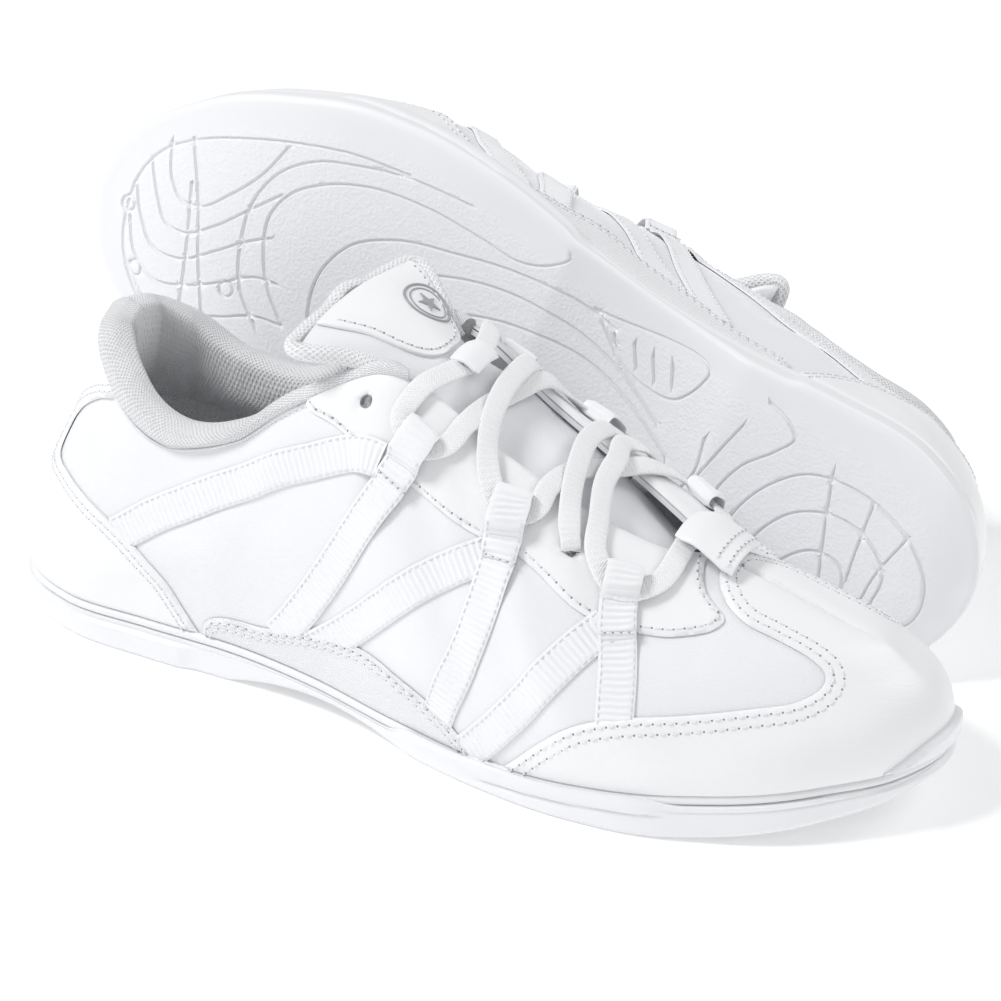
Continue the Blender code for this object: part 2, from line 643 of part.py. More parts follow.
def tongue_slab(shoe, name, stations, span, half_share, low, high, slot, steps, on_tongue):
    """Slab over part of the tongue, between depths low and high under its upper face."""
    across = np.linspace(-half_share, half_share, 5)
    sections = []
    for t in np.linspace(*span, steps):
        down = tongue_down(stations, t)
        top = [tongue_frame(stations, t, a) + down * high for a in across]
        bottom = [tongue_frame(stations, t, a) + down * low for a in across[::-1]]
        sections.append(top + bottom)
    count = 2 * len(across)
    points = np.array(sections).reshape(-1, 3)
    faces = tube_faces(steps, count)
    last = (steps - 1) * count
    half = len(across)
    for i in range(half - 1):
        k = count - 1 - i
        faces.append((i, k, k - 1, i + 1))
        faces.append((last + i, last + i + 1, last + k - 1, last + k))
    return shoe.mesh_piece(name, points, faces, slot, on_tongue)


def make_tongue(shoe):
    tongue_slab(shoe, "tongue_base", TONGUE_BASE, (0, 1), 1, TONGUE_BASE_THICKNESS, 0,
                "satin", 9, False)
    tongue_slab(shoe, "tongue_top", TONGUE_TOP, (0, 1), 1, TONGUE_TOP_THICKNESS, 0, "satin", 7, True)
    tongue_slab(shoe, "tongue_patch", TONGUE_TOP, PATCH_STATIONS, PATCH_HALF_WIDTH, -GAP, -PATCH_RISE,
                "leather", 6, True)


def make_emblem(shoe):
    """Small plain ring on the tongue's patch."""
    t = EMBLEM_STATION
    centre = tongue_frame(TONGUE_TOP, t, 0)
    down = tongue_down(TONGUE_TOP, t)
    along = unit(tongue_frame(TONGUE_TOP, t + .02, 0) - tongue_frame(TONGUE_TOP, t - .02, 0))
    aside = np.array((0, 1., 0))
    turns = np.linspace(0, 2 * math.pi, 16, endpoint=False)
    points = []
    inner = EMBLEM_RADIUS - EMBLEM_WIDTH
    low, high = EMBLEM_LIFT
    section = ((EMBLEM_RADIUS, low), (EMBLEM_RADIUS, high), (inner, high), (inner, low), (EMBLEM_RADIUS, low))
    for radius, lift in section:
        for turn in turns:
            spot = centre + (along * math.cos(turn) + aside * math.sin(turn)) * radius
            points.append(spot - down * lift)
    faces = [face[::-1] for face in tube_faces(5, len(turns))]
    shoe.mesh_piece("tongue_emblem", points, faces, "emblem", True)


def make_bridge(shoe, name, rows, thickness, slot):
    """Small curved sheet over the lace, given as its rows."""
    across = np.linspace(-1, 1, 5)
    points = [(x, a * half, z - drop * a * a) for x, half, z, drop in rows for a in across]
    n = len(across)
    faces = []
    for r in range(len(rows) - 1):
        for i in range(n - 1):
            faces.append((r * n + i, (r + 1) * n + i, (r + 1) * n + i + 1, r * n + i + 1))
    return thicken(shoe.mesh_piece(name, points, faces, slot), thickness)


def make_lace_guides(shoe):
    make_bridge(shoe, "tongue_lace_loop", TONGUE_LOOP_ROWS, WEBBING, "webbing")
    make_bridge(shoe, "lace_keeper", KEEPER_ROWS, OVERLAY, "leather")


def lace_point(entry):
    if entry[0] in ("L", "M"):
        sign = -1 if entry[0] == "L" else 1
        s, w, lift = entry[1] * sign, entry[2], entry[3]
        return upper(s, w) + upper_normal(s, w) * lift
    return np.array(entry, float)


def make_lace(shoe):
    knots = np.array([lace_point(entry) for entry in LACE_ROUTE])
    length = np.concatenate([[0], np.cumsum(np.linalg.norm(np.diff(knots, axis=0), axis=1))])
    steps = int(length[-1] / LACE_STEP)
    route = shoe.local(spline(length, knots, np.linspace(0, length[-1], steps)))
    curve = bpy.data.curves.new("lace", "CURVE")
    curve.dimensions = "3D"
    curve.bevel_depth = LACE_RADIUS * MM
    curve.bevel_resolution = 1
    curve.use_fill_caps = True
    line = curve.splines.new("POLY")
    line.points.add(len(route) - 1)
    for point, place in zip(line.points, route):
        point.co = (*(place * MM), 1)
    shoe.place(bpy.data.objects.new("lace", curve), "lace", "lace")


def make_shoe(side, hand, collection):
    shoe = Shoe(side, hand, collection)
    for build in (make_outsole, make_midsole, make_board, make_sock_liner, make_toe_bumper, make_quarters,
                  make_vamp, make_overlays, make_straps, make_inner_layers, make_collar_padding,
                  make_tongue, make_emblem, make_lace_guides, make_lace):
        build(shoe)
    return shoe


def lay_left_shoe(shoe):
    """Turn the left shoe onto its medial side and lean it behind the right one."""
    turn = Euler([math.radians(a) for a in LEFT_TURN_DEG], "XYZ")
    pivot = Vector((LEFT_PIVOT_X - BALL_X, 0, 0)) * MM
    place = Vector((LEFT_PLACE[0] - BALL_X, LEFT_PLACE[1], LEFT_PLACE[2])) * MM
    shoe.frame.rotation_euler = turn
    shoe.frame.location = place - turn.to_matrix() @ pivot


def main():
    for obj in list(bpy.data.objects):
        bpy.data.objects.remove(obj)
    collection = bpy.data.collections.new(COLLECTION)
    bpy.context.scene.collection.children.link(collection)
    make_shoe("right", 1, collection)
    lay_left_shoe(make_shoe("left", -1, collection))


main()
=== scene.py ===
"""Looks of the pair of cheer shoes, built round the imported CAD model.

Each piece is made once, for the right shoe, in millimetres in the shoe's own frame: x from heel to toe,
y to the medial side, z up from the floor. place() then sets it down twice, for the right shoe and
mirrored for the left one, in the row's metres. A place on the upper is (s, w): s runs round the shoe from
the back of the heel (0) to the toe (1), below zero on the lateral side, and w from the sole (0) to the top.
"""

import math

import bmesh
import bpy
import numpy as np
from mathutils import Euler, Matrix, Vector
from mathutils.geometry import delaunay_2d_cdt


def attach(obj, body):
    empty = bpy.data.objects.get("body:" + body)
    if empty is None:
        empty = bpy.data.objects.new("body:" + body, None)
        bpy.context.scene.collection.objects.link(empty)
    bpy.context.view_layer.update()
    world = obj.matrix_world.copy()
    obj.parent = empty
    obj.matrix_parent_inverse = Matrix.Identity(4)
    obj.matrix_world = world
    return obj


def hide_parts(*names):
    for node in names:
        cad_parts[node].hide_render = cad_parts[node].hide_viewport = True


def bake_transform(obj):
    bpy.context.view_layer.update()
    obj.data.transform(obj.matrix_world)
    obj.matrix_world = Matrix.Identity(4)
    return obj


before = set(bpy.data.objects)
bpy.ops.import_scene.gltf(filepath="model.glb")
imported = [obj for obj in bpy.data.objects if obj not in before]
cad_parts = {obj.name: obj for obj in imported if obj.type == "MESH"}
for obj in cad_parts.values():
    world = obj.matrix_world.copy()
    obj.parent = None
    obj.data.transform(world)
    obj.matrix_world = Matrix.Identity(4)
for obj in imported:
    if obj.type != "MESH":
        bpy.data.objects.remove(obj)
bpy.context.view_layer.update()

MM = 0.001
UP = np.array((0, 0, 1.))

# ---------------------------------------------------------------- shape of the shoe, as in the CAD
# At each station: where the upper meets the sole (x, y), its top edge (x, y, z), how far it swells
# outwards and rises above the sole, and how far it swells outwards and drops below its top edge.
STATIONS = (0, .07, .15, .25, .35, .45, .55, .65, .75, .85, .93, .97, 1)
FEATHER_LATERAL = ((-.5, 2), (6, -16), (24, -27.5), (50, -30), (78, -30), (104, -32.5),
                   (130, -38), (156, -44), (182, -46), (210, -41), (240, -25.5), (254.5, -10.5), (260, 6))
FEATHER_MEDIAL = ((-.5, 2), (6, 20), (24, 30), (50, 31.5), (78, 26.5), (104, 22.5),
                  (130, 25.5), (156, 35.5), (182, 42.5), (210, 42), (241, 33), (255.5, 21), (260, 6))
TOP_STATIONS = (0, .07, .15, .25, .35, .45, .5, .55, .65, .75, .79, .85, .93, 1)
TOP_LATERAL = ((23, 1, 83), (26, -10, 80.5), (37, -19, 72), (54, -23, 64.5), (74, -24, 70.5),
               (93, -22.5, 84.5), (112, -19.5, 95), (123, -18, 93.5), (146, -15.5, 79.5),
               (172, -12, 66), (186, -8, 60), (200, 0, 57), (217, 1, 52), (236, 2, 45))
TOP_MEDIAL = ((23, 1, 83), (26, 12, 80.5), (35, 20, 75), (50, 23.5, 66), (70, 24.5, 65),
              (90, 23.5, 80), (110, 20.5, 93), (121, 19, 92), (144, 16.5, 79),
              (171, 13, 66), (186, 9, 60), (200, 0, 57), (217, 1, 52), (236, 2, 45))
FLARE_LOW = (3, 3, 3, 3, 2.5, 2.5, 3, 3.5, 3.5, 3.5, 3.5, 3.2, 3)
RISE_LOW = (26, 26, 24, 24, 24, 26, 26, 22, 20, 18, 16, 15, 14)
FLARE_TOP_LATERAL = (1, 2, 3, 4, 6, 9, 12, 17, 22, 24, 20, 16, 13)
FLARE_TOP_MEDIAL = (1, 2, 3, 4, 6, 9, 12, 16, 18, 18, 16, 14, 12)
DROP_TOP = (24, 24, 20, 16, 14, 12, 9, 7, 4, 2, 2, 2.5, 3)
THROAT_END = .85

SOLE_LENGTH = 262
SIDEWALL_DROP = 2.7
PEBBLE_RISE = .12
SOLE_EDGE_X = (-2, 20, 45, 80, 100, 125, 150, 175, 200, 225, 245, 262)
SOLE_EDGE_Z = (9, 10.6, 11.6, 11.2, 10, 8.2, 8.2, 9.6, 11.8, 14, 16.3, 17.2)
TOE_SPRING = 12
TOE_SPRING_START = 195
HEEL_BEVEL = 5
HEEL_BEVEL_END = 18
ARCH_LIFT = 4
ARCH_CENTRE = 103
ARCH_REACH = 28

# Outlines of the overlays, one side each.
HEEL_OVERLAY_SIDE = ((.305, 0), (.295, .06), (.27, .2), (.235, .32), (.188, .42), (.115, .475),
                     (.065, .5), (.05, .56), (.065, .66), (.10, .80), (.14, .93), (.15, 1))
SADDLE = ((.308, 0), (.312, .05), (.385, .12), (.443, .165), (.478, .175), (.537, .17),
          (.595, .12), (.625, .07), (.645, 0))
TOE_CAP_SIDE = ((.68, 0), (.722, .15), (.752, .24), (.797, .315), (.85, .35), (.895, .40),
                (.92, .43), (.937, .50), (.94, .57), (.932, .63), (.912, .69), (.885, .735),
                (.862, .83), (.855, .93), (.86, 1))
EYESTAY = ((.45, 1), (.455, .93), (.47, .84), (.49, .74), (.52, .68), (.557, .655), (.605, .645),
           (.64, .66), (.682, .68), (.71, .66), (.742, .62), (.77, .61), (.80, .625), (.83, .625),
           (.857, .66), (.868, .715), (.846, .82), (.838, .93), (.838, 1))
BUMPER_SIDE = ((.962, .02), (.972, .07), (.985, .13), (1, .165))
EYELETS = ((.497, .87), (.732, .80))
EYELET_RADIUS = 1.6
# Webbing straps: the middle of each V's first leg and of its second leg, from the foot up.
STRAPS = (
    (((.205, .36), (.261, .57), (.326, .70), (.395, .733), (.463, .72), (.522, .69)),
     ((.40, .11), (.50, .50), (.545, .69), (.566, .83))),
    (((.442, .11), (.555, .38), (.65, .63)), ((.594, .03), (.646, .45), (.665, .69), (.668, .84))),
    (((.636, .0), (.71, .30), (.772, .61)), ((.795, .21), (.787, .50), (.778, .66), (.774, .80))),
)
LEG_WIDTH = 9.6

# Tongue (x, z of the upper face, half width, crown), from the vamp up to its free end.
TONGUE = ((194, 51, 9, 5), (186, 55.5, 11, 4.5), (172, 65, 12.5, 4), (160, 72.5, 13, 4), (146, 80.5, 13.5, 4),
          (134, 88, 14, 4), (124.5, 94, 14.5, 4.5), (113, 101, 16.8, 5), (106.5, 104.2, 20, 4.8),
          (99.5, 105.6, 25.5, 4), (91.5, 105.6, 28.5, 3))
TONGUE_TWIST = .1
TONGUE_ROLL = .06
TONGUE_WING = 1.42

# The lace, as in the CAD: ("L" or "M", station, height, lift off the upper) or (x, y, z).
LACE_ROUTE = (
    ("L", .63, .60, -6), ("L", .68, .64, -7), ("L", .722, .74, -7), ("L", .7315, .793, -4),
    ("L", .732, .80, -1), ("L", .732, .80, 2), ("L", .727, .85, 3.6), ("L", .722, .95, 3.6),
    (162, -4, 76.6), (160, 4, 77.4), ("M", .70, .95, 3.2), ("M", .692, .84, 3), ("M", .667, .775, 3),
    ("M", .642, .84, 3), ("M", .631, .95, 3.2), (139.5, 3, 86.7), (138.5, -3, 87.0),
    ("L", .605, .95, 3.2), ("L", .592, .84, 3), ("L", .565, .775, 3), ("L", .541, .84, 3),
    ("L", .552, .95, 3.2), (128.5, -8, 95.2), (129.5, 0, 94.2), (128.5, 8, 95.2),
    ("M", .552, .95, 3.2), ("M", .541, .84, 3), ("M", .565, .775, 3), ("M", .592, .84, 3),
    ("M", .605, .95, 3.2), (138.5, 3, 89.9), (139.5, -3, 89.7), ("L", .631, .95, 3.2),
    ("L", .642, .84, 3), ("L", .667, .775, 3), ("L", .692, .84, 3), ("L", .70, .95, 3.2),
    (162.5, -4, 73.8), (167.5, 6, 70.9), ("M", .748, .95, 3), ("M", .752, .82, 3), ("M", .775, .735, 3),
    ("M", .80, .80, 3), ("M", .812, .95, 3.4), (193, 5, 61.8), (194.5, 0, 61.6), (193, -5, 61.8),
    ("L", .812, .95, 3.4), ("L", .80, .80, 3), ("L", .775, .735, 3), ("L", .752, .82, 3),
    ("L", .748, .95, 3), (169, -3, 72.2), (168, 5, 73.6), ("M", .722, .95, 3.6), ("M", .727, .85, 3.6),
    ("M", .732, .80, 2), ("M", .732, .80, -1), ("M", .7315, .793, -4), ("M", .722, .74, -7),
    ("M", .68, .64, -7), ("M", .63, .60, -6),
)
TONGUE_NORMAL = (.52, 0, .85)
LACE_HALF_WIDTH = 2.9
LACE_HALF_THICKNESS = .6
LACE_STEP = .45

# How the left shoe lies.
BALL_X = 160
LEFT_PIVOT_X = 131
LEFT_PLACE = (117.7, 48.5, 66.4)
LEFT_TURN_DEG = (104.4, -16.3, 184.2)


# ---------------------------------------------------------------- surface of the upper
def spline(knots, values, t):
    """Smooth curve through values at knots, read at t."""
    knots = np.asarray(knots, float)
    values = np.asarray(values, float)
    flat = values.reshape(len(knots), -1)
    step = np.diff(knots)
    slope = np.diff(flat, axis=0) / step[:, None]
    blend = (step[:-1] / (step[:-1] + step[1:]))[:, None]
    inner = slope[:-1] * (1 - blend) + slope[1:] * blend
    tangent = np.vstack([slope[:1], inner, slope[-1:]])
    t = np.clip(np.asarray(t, float), knots[0], knots[-1])
    i = np.clip(np.searchsorted(knots, t, side="right") - 1, 0, len(knots) - 2)
    h = step[i][..., None]
    u = (t - knots[i])[..., None] / h
    result = ((1 + 2 * u) * (1 - u) ** 2 * flat[i] + u * (1 - u) ** 2 * h * tangent[i]
              + u * u * (3 - 2 * u) * flat[i + 1] - u * u * (1 - u) * h * tangent[i + 1])
    return result.reshape(t.shape + values.shape[1:])


def unit(v):
    return v / np.maximum(np.linalg.norm(v, axis=-1, keepdims=True), 1e-9)


def smooth(t):
    t = np.clip(t, 0, 1)
    return t * t * (3 - 2 * t)


def bump(x, centre, reach):
    return np.exp(-((x - centre) / reach) ** 2)


def quarter_round(share):
    """Height of a rounded edge, 0 at its foot and 1 once share passes 1."""
    return np.sqrt(1 - (1 - np.clip(share, 0, 1)) ** 2)


def running_mean(values, span):
    return np.convolve(np.pad(values, span // 2, "edge"), np.ones(span) / span, "valid")


def distances(points):
    """How far along a line of points each one is."""
    return np.concatenate([[0], np.cumsum(np.linalg.norm(np.diff(points, axis=0), axis=1))])


def column(values):
    return np.reshape(values, (-1, 1))


def grid(a, b):
    """Every pair of one value of a and one of b."""
    return np.stack(np.meshgrid(a, b, indexing="ij"), -1).reshape(-1, 2)


def wrap(s):
    """The same station within -1..1."""
    return (np.asarray(s, float) + 1) % 2 - 1


def edge_height(x):
    """Height of the sole's upper edge."""
    return spline(SOLE_EDGE_X, SOLE_EDGE_Z, x)


def feather(s):
    """The edge where the upper meets the sole, one smooth closed curve."""
    knots = [-p for p in reversed(STATIONS)] + list(STATIONS[1:])
    values = list(reversed(FEATHER_LATERAL)) + list(FEATHER_MEDIAL[1:])
    knots = [STATIONS[-2] - 2] + knots + [2 - STATIONS[-2]]
    values = [FEATHER_MEDIAL[-2]] + values + [FEATHER_LATERAL[-2]]
    plan = spline(knots, values, wrap(s))
    return np.concatenate([plan, edge_height(plan[..., 0])[..., None]], -1)


def topline(s):
    """The collar's rim, the throat's edge and, past THROAT_END, the ridge over the toes."""
    s = wrap(s)
    p = np.abs(s)
    lateral = spline(TOP_STATIONS, TOP_LATERAL, p)
    medial = spline(TOP_STATIONS, TOP_MEDIAL, p)
    rim = np.where((s < 0)[..., None], lateral, medial)
    return np.where((p > THROAT_END - 1e-6)[..., None], (lateral + medial) / 2, rim)


def outward(s):
    """Level direction out of the shoe at each station."""
    along = feather(np.add(s, .002)) - feather(np.subtract(s, .002))
    out = unit(np.stack([-along[..., 1], along[..., 0], 0 * along[..., 0]], -1))
    return out * np.sign(((feather(s) - (130, 0, 0)) * out).sum(-1, keepdims=True))


def upper(s, w):
    """Points of the upper: a cubic curve from the feather edge to the topline at each station."""
    s, w = np.broadcast_arrays(np.asarray(s, float), np.asarray(w, float))
    side = wrap(s)
    p = np.abs(side)
    low = feather(s)
    top = topline(s)
    out = outward(s)
    lean = np.clip((p - .3) / .3, 0, 1)[..., None]
    away = unit(out * (1 - lean) + unit((low - top) * (1, 1, 0)) * lean)
    flare = np.where(side < 0, spline(STATIONS, FLARE_TOP_LATERAL, p), spline(STATIONS, FLARE_TOP_MEDIAL, p))
    drop = spline(STATIONS, DROP_TOP, p)[..., None]
    rise = spline(STATIONS, RISE_LOW, p)[..., None]
    first = low + out * spline(STATIONS, FLARE_LOW, p)[..., None] + UP * rise
    second = top + away * flare[..., None] - UP * drop
    w = w[..., None]
    v = 1 - w
    sag = smooth((p - THROAT_END) / .04)[..., None] * 7.5 * drop * np.clip(w - .8, 0, 1) ** 2 * UP
    return v ** 3 * low + 3 * v * v * w * first + 3 * v * w * w * second + w ** 3 * top - sag


def side_normal(s, w):
    """Outward normal of one side's own surface."""
    e = .004
    w = np.clip(w, e, 1 - e)
    along = upper(np.add(s, e), w) - upper(np.subtract(s, e), w)
    rise = upper(s, w + e) - upper(s, w - e)
    return unit(np.cross(rise, along))


def upper_normal(s, w):
    """Outward normal; near the ridge over the toes the two sides' normals blend."""
    s, w = np.broadcast_arrays(np.asarray(s, float), np.asarray(w, float))
    own = side_normal(s, w)
    share = smooth((w - .9) / .1) * (np.abs(wrap(s)) > THROAT_END - .001) * .5
    other = side_normal(-s, w)
    return unit(own * (1 - share[..., None]) + other * share[..., None])


# Middles of the satin panels between the straps.
PANELS = ((.33, .42), (.535, .46), (.57, .24), (.70, .48), (.75, .27), (.85, .47))
PANEL_PUFF = 1.7


def relief(s, w):
    """Puffed panels, soft hollows and rises of the satin between the straps, in millimetres."""
    s, w = np.broadcast_arrays(np.asarray(s, float), np.asarray(w, float))
    p = np.abs(wrap(s))
    puff = sum(bump(p, a, .042) * bump(w, b, .14) for a, b in PANELS) * PANEL_PUFF
    inner = smooth(w / .2) * smooth((1 - w) / .25)
    flex = bump(p, .66, .12)
    waves = .45 * np.sin(31 * p + 9 * w) + .35 * np.sin(17 * p - 14 * w + 1) + .25 * np.sin(55 * p - 20 * w)
    return inner * (puff + .5 * waves + .3 * flex * np.sin(90 * p + 16 * w))


def surface(s, w, lift=0.):
    """Points of the satin's face, lift millimetres off it."""
    return upper(s, w) + upper_normal(s, w) * (np.asarray(lift) + relief(s, w))[..., None]


def sole_bottom(x):
    """Height of the tread above the floor: heel bevel, arch and toe spring."""
    toe = np.clip((x - TOE_SPRING_START) / (SOLE_LENGTH - TOE_SPRING_START), 0, 1) ** 2 * TOE_SPRING
    heel = np.clip((HEEL_BEVEL_END - x) / HEEL_BEVEL_END, 0, 1) ** 2 * HEEL_BEVEL
    arch = np.clip(1 - ((x - ARCH_CENTRE) / ARCH_REACH) ** 2, 0, 1) * ARCH_LIFT
    return toe + heel + arch


# ---------------------------------------------------------------- curves on the upper
# One unit of s and one of w in millimetres, roughly.
WEIGHT = np.array((260., 75.))
SIDES = (("lateral", -1), ("medial", 1))


def resample(points, step, scale=(1, 1, 1)):
    """Points every step along a line; scale turns the line's own units into millimetres."""
    points = np.asarray(points, float)
    length = distances(points * np.asarray(scale)[:points.shape[1]])
    count = max(2, int(round(length[-1] / step)) + 1)
    t = np.linspace(0, length[-1], count)
    return np.stack([np.interp(t, length, points[:, k]) for k in range(points.shape[1])], 1)


def curve(points, step=1.0, scale=WEIGHT):
    """Smooth line through points, with one every step."""
    points = np.asarray(points, float)
    length = distances(points * scale)
    fine = spline(length, points, np.linspace(0, length[-1], 24 * len(points)))
    return resample(fine, step, scale)


def on_side(points, sign):
    return np.asarray(points, float) * (sign, 1)


def both_sides(side):
    """Close a half outline across the back of the heel."""
    over = resample([side[-1] * (-1, 1), side[-1]], 1, WEIGHT)[1:-1]
    return np.vstack([side * (-1, 1), over, side[::-1]])


def round_toe(side):
    """Close a half outline across the toe, where places run on past 1."""
    over = resample([side[-1], side[-1] * (-1, 1) + (2, 0)], 1, WEIGHT)[1:-1]
    return np.vstack([side, over, side[::-1] * (-1, 1) + (2, 0)])


def closed(path):
    """Close a path with a straight run back to its start."""
    return np.vstack([path, resample([path[-1], path[0]], 1, WEIGHT)[1:-1]])


def slopes(s, w):
    """How far the surface moves for a small step in s and in w."""
    e = .002
    ds = (upper(s + e, w) - upper(s - e, w)) / (2 * e)
    dw = (upper(s, w + e) - upper(s, w - e)) / (2 * e)
    return ds, dw


def shift(line, distance):
    """Line on the upper moved sideways by distance millimetres, to its right seen from outside."""
    line = np.asarray(line, float)
    ds, dw = slopes(line[:, 0], line[:, 1])
    step = np.gradient(line, axis=0)
    forward = unit(ds * step[:, :1] + dw * step[:, 1:])
    aside = np.cross(forward, side_normal(line[:, 0], line[:, 1])) * distance
    a = (ds * ds).sum(1)
    b = (ds * dw).sum(1)
    c = (dw * dw).sum(1)
    by_s = (ds * aside).sum(1)
    by_w = (dw * aside).sum(1)
    size = np.maximum(a * c - b * b, 1e-6)
    return line + np.stack([(c * by_s - b * by_w) / size, (a * by_w - b * by_s) / size], 1)


def circle_on_upper(station, height, radius, sign, sides=18):
    """Outline of a round hole in the upper."""
    s = station * sign
    ds, dw = slopes(np.array([s]), np.array([height]))
    turn = np.arange(sides) * 2 * math.pi / sides
    return np.stack([s + np.cos(turn) * radius / np.linalg.norm(ds),
                     height + np.sin(turn) * radius / np.linalg.norm(dw)], 1)


# ---------------------------------------------------------------- mesh helpers
OVERLAY_GAP = .3
OVERLAY_THICKNESS = 1.1
OVERLAY_TOP = 1.38
PIECES = []


class Piece:
    """A shape of the right shoe, in shoe millimetres, and how both shoes use it."""

    def __init__(self, name, points, faces, paint, slot, flat=None, replaces=(), body="shoe", mask=None,
                 padded=None, swell=0):
        self.name = name
        self.points = np.asarray(points, float)
        self.faces = faces
        self.paint = paint
        self.slot = slot
        self.flat = self.points[:, :2] if flat is None else np.asarray(flat, float)
        self.replaces = replaces
        self.body = body
        self.mask = mask
        self.padded = padded
        self.swell = swell
        PIECES.append(self)


def shell_faces(columns, rows, closed_columns=False, start=0):
    """Quads of a grid of columns by rows of points."""
    count = columns if closed_columns else columns - 1
    i = np.arange(count)[:, None]
    j = np.arange(rows - 1)[None, :]
    a = i * rows + j
    b = ((i + 1) % columns) * rows + j
    return (np.stack([a, b, b + 1, a + 1], -1).reshape(-1, 4) + start).tolist()


def grid_tris(columns, rows):
    """Triangles of a grid of columns by rows of points."""
    quads = np.array(shell_faces(columns, rows))
    return np.vstack([quads[:, :3], quads[:, [0, 2, 3]]])


def slab(front, back):
    """Closed body between two grids of points."""
    return sheet_body(front.reshape(-1, 3), back.reshape(-1, 3), grid_tris(*front.shape[:2]))


def tube(rings, closed=False):
    """Points and faces of a tube through rings (n, m, 3), with its ends closed unless it is a loop."""
    rings = np.asarray(rings, float)
    n, m = rings.shape[:2]
    i = np.arange(n if closed else n - 1)[:, None]
    j = np.arange(m)[None, :]
    a = i * m + j
    b = ((i + 1) % n) * m + j
    k = (j + 1) % m
    faces = np.stack([a, i * m + k, ((i + 1) % n) * m + k, b], -1).reshape(-1, 4).tolist()
    points = rings.reshape(-1, 3)
    if not closed:
        ends = np.stack([rings[0].mean(0), rings[-1].mean(0)])
        points = np.vstack([points, ends])
        first, last = n * m, n * m + 1
        faces += [(first, (c + 1) % m, c) for c in range(m)]
        faces += [(last, (n - 1) * m + c, (n - 1) * m + (c + 1) % m) for c in range(m)]
    return points, faces


def tube_plan(flat):
    """Flat pattern of a tube, with two more places for the middles of its ends."""
    return np.vstack([flat, flat[:2]])


def frames(line, normals, closed=False):
    """Tangent, across and up directions along a line of points."""
    if closed:
        tangent = unit(np.roll(line, -1, 0) - np.roll(line, 1, 0))
    else:
        tangent = unit(np.gradient(line, axis=0))
    up = unit(normals - (normals * tangent).sum(1, keepdims=True) * tangent)
    return tangent, np.cross(tangent, up), up


def cord(line, normals, radius, sides=10, closed=False):
    """Round tube along a line."""
    _, across, up = frames(line, normals, closed)
    turn = np.arange(sides) * 2 * math.pi / sides
    size = np.broadcast_to(np.asarray(radius, float), len(line))[:, None, None]
    ring = np.cos(turn)[None, :, None] * across[:, None] + np.sin(turn)[None, :, None] * up[:, None]
    return tube(line[:, None] + ring * size, closed)


def join(parts):
    """One set of points and faces from several."""
    points, faces, start = [], [], 0
    for p, f in parts:
        points.append(p)
        faces += [[i + start for i in face] for face in f]
        start += len(p)
    return np.vstack(points), faces


def points_inside(points, outline):
    """Which points an outline goes round."""
    x, y = points[:, :1], points[:, 1:]
    a = outline
    b = np.roll(outline, -1, axis=0)
    crosses = (a[:, 1] > y) != (b[:, 1] > y)
    rise = np.where(np.abs(b[:, 1] - a[:, 1]) < 1e-12, 1e-12, b[:, 1] - a[:, 1])
    at = (b[:, 0] - a[:, 0]) * (y - a[:, 1]) / rise + a[:, 0]
    return ((crosses & (x < at)).sum(1) % 2) == 1


def line_distance(points, line, closed=True):
    """Distance of each point to a polyline, in the points' own units."""
    a = line if closed else line[:-1]
    b = np.roll(line, -1, axis=0) if closed else line[1:]
    d = b - a
    best = np.full(len(points), 1e9)
    for start in range(0, len(points), 4000):
        p = points[start:start + 4000, None]
        t = np.clip(((p - a) * d).sum(-1) / np.maximum((d * d).sum(-1), 1e-12), 0, 1)
        gap = np.linalg.norm(a + d * t[..., None] - p, axis=-1).min(1)
        best[start:start + 4000] = gap
    return best


def fill(outline, holes=(), step=1.5):
    """Triangles in (s, w) that cover an outline, less its holes, with points every step millimetres."""
    low, high = outline.min(0), outline.max(0)
    ds, dw = step / WEIGHT
    lattice = grid(np.arange(low[0] + ds / 2, high[0], ds), np.arange(low[1] + dw / 2, high[1], dw))
    lattice = lattice[points_inside(lattice, outline)]
    for loop in (outline,) + tuple(holes):
        near = line_distance(lattice * WEIGHT, loop * WEIGHT) < step * .45
        lattice = lattice[~near]
    for hole in holes:
        lattice = lattice[~points_inside(lattice, hole)]
    points, edges = [], []
    for loop in (outline,) + tuple(holes):
        start = len(points)
        points += [Vector(p * WEIGHT) for p in loop]
        ring = list(range(start, len(points)))
        edges += list(zip(ring, ring[1:] + ring[:1]))
    points += [Vector(p * WEIGHT) for p in lattice]
    verts, _, tris, _, _, _ = delaunay_2d_cdt(points, edges, [list(range(len(outline)))], 1, 1e-5)
    flat = np.array([(v.x, v.y) for v in verts]) / WEIGHT
    tris = np.array([list(t) for t in tris])
    centre = flat[tris].mean(1)
    for hole in holes:
        keep = ~points_inside(centre, hole)
        tris, centre = tris[keep], centre[keep]
    return flat, tris


def boundary(tris):
    """Directed edges that only one triangle uses."""
    edges = np.concatenate([tris[:, [0, 1]], tris[:, [1, 2]], tris[:, [2, 0]]])
    key = np.sort(edges, 1)
    _, index, count = np.unique(key, axis=0, return_index=True, return_counts=True)
    return edges[index[count == 1]]


def sheet_body(top, bottom, tris):
    """Closed body between two copies of one triangulated sheet."""
    n = len(top)
    rim = boundary(tris)
    walls = np.stack([rim[:, 1], rim[:, 0], rim[:, 0] + n, rim[:, 1] + n], 1)
    faces = tris.tolist() + (tris[:, ::-1] + n).tolist() + walls.tolist()
    return np.vstack([top, bottom]), faces


def twice(flat):
    """Flat pattern of a body's top and bottom."""
    return np.vstack([flat, flat])


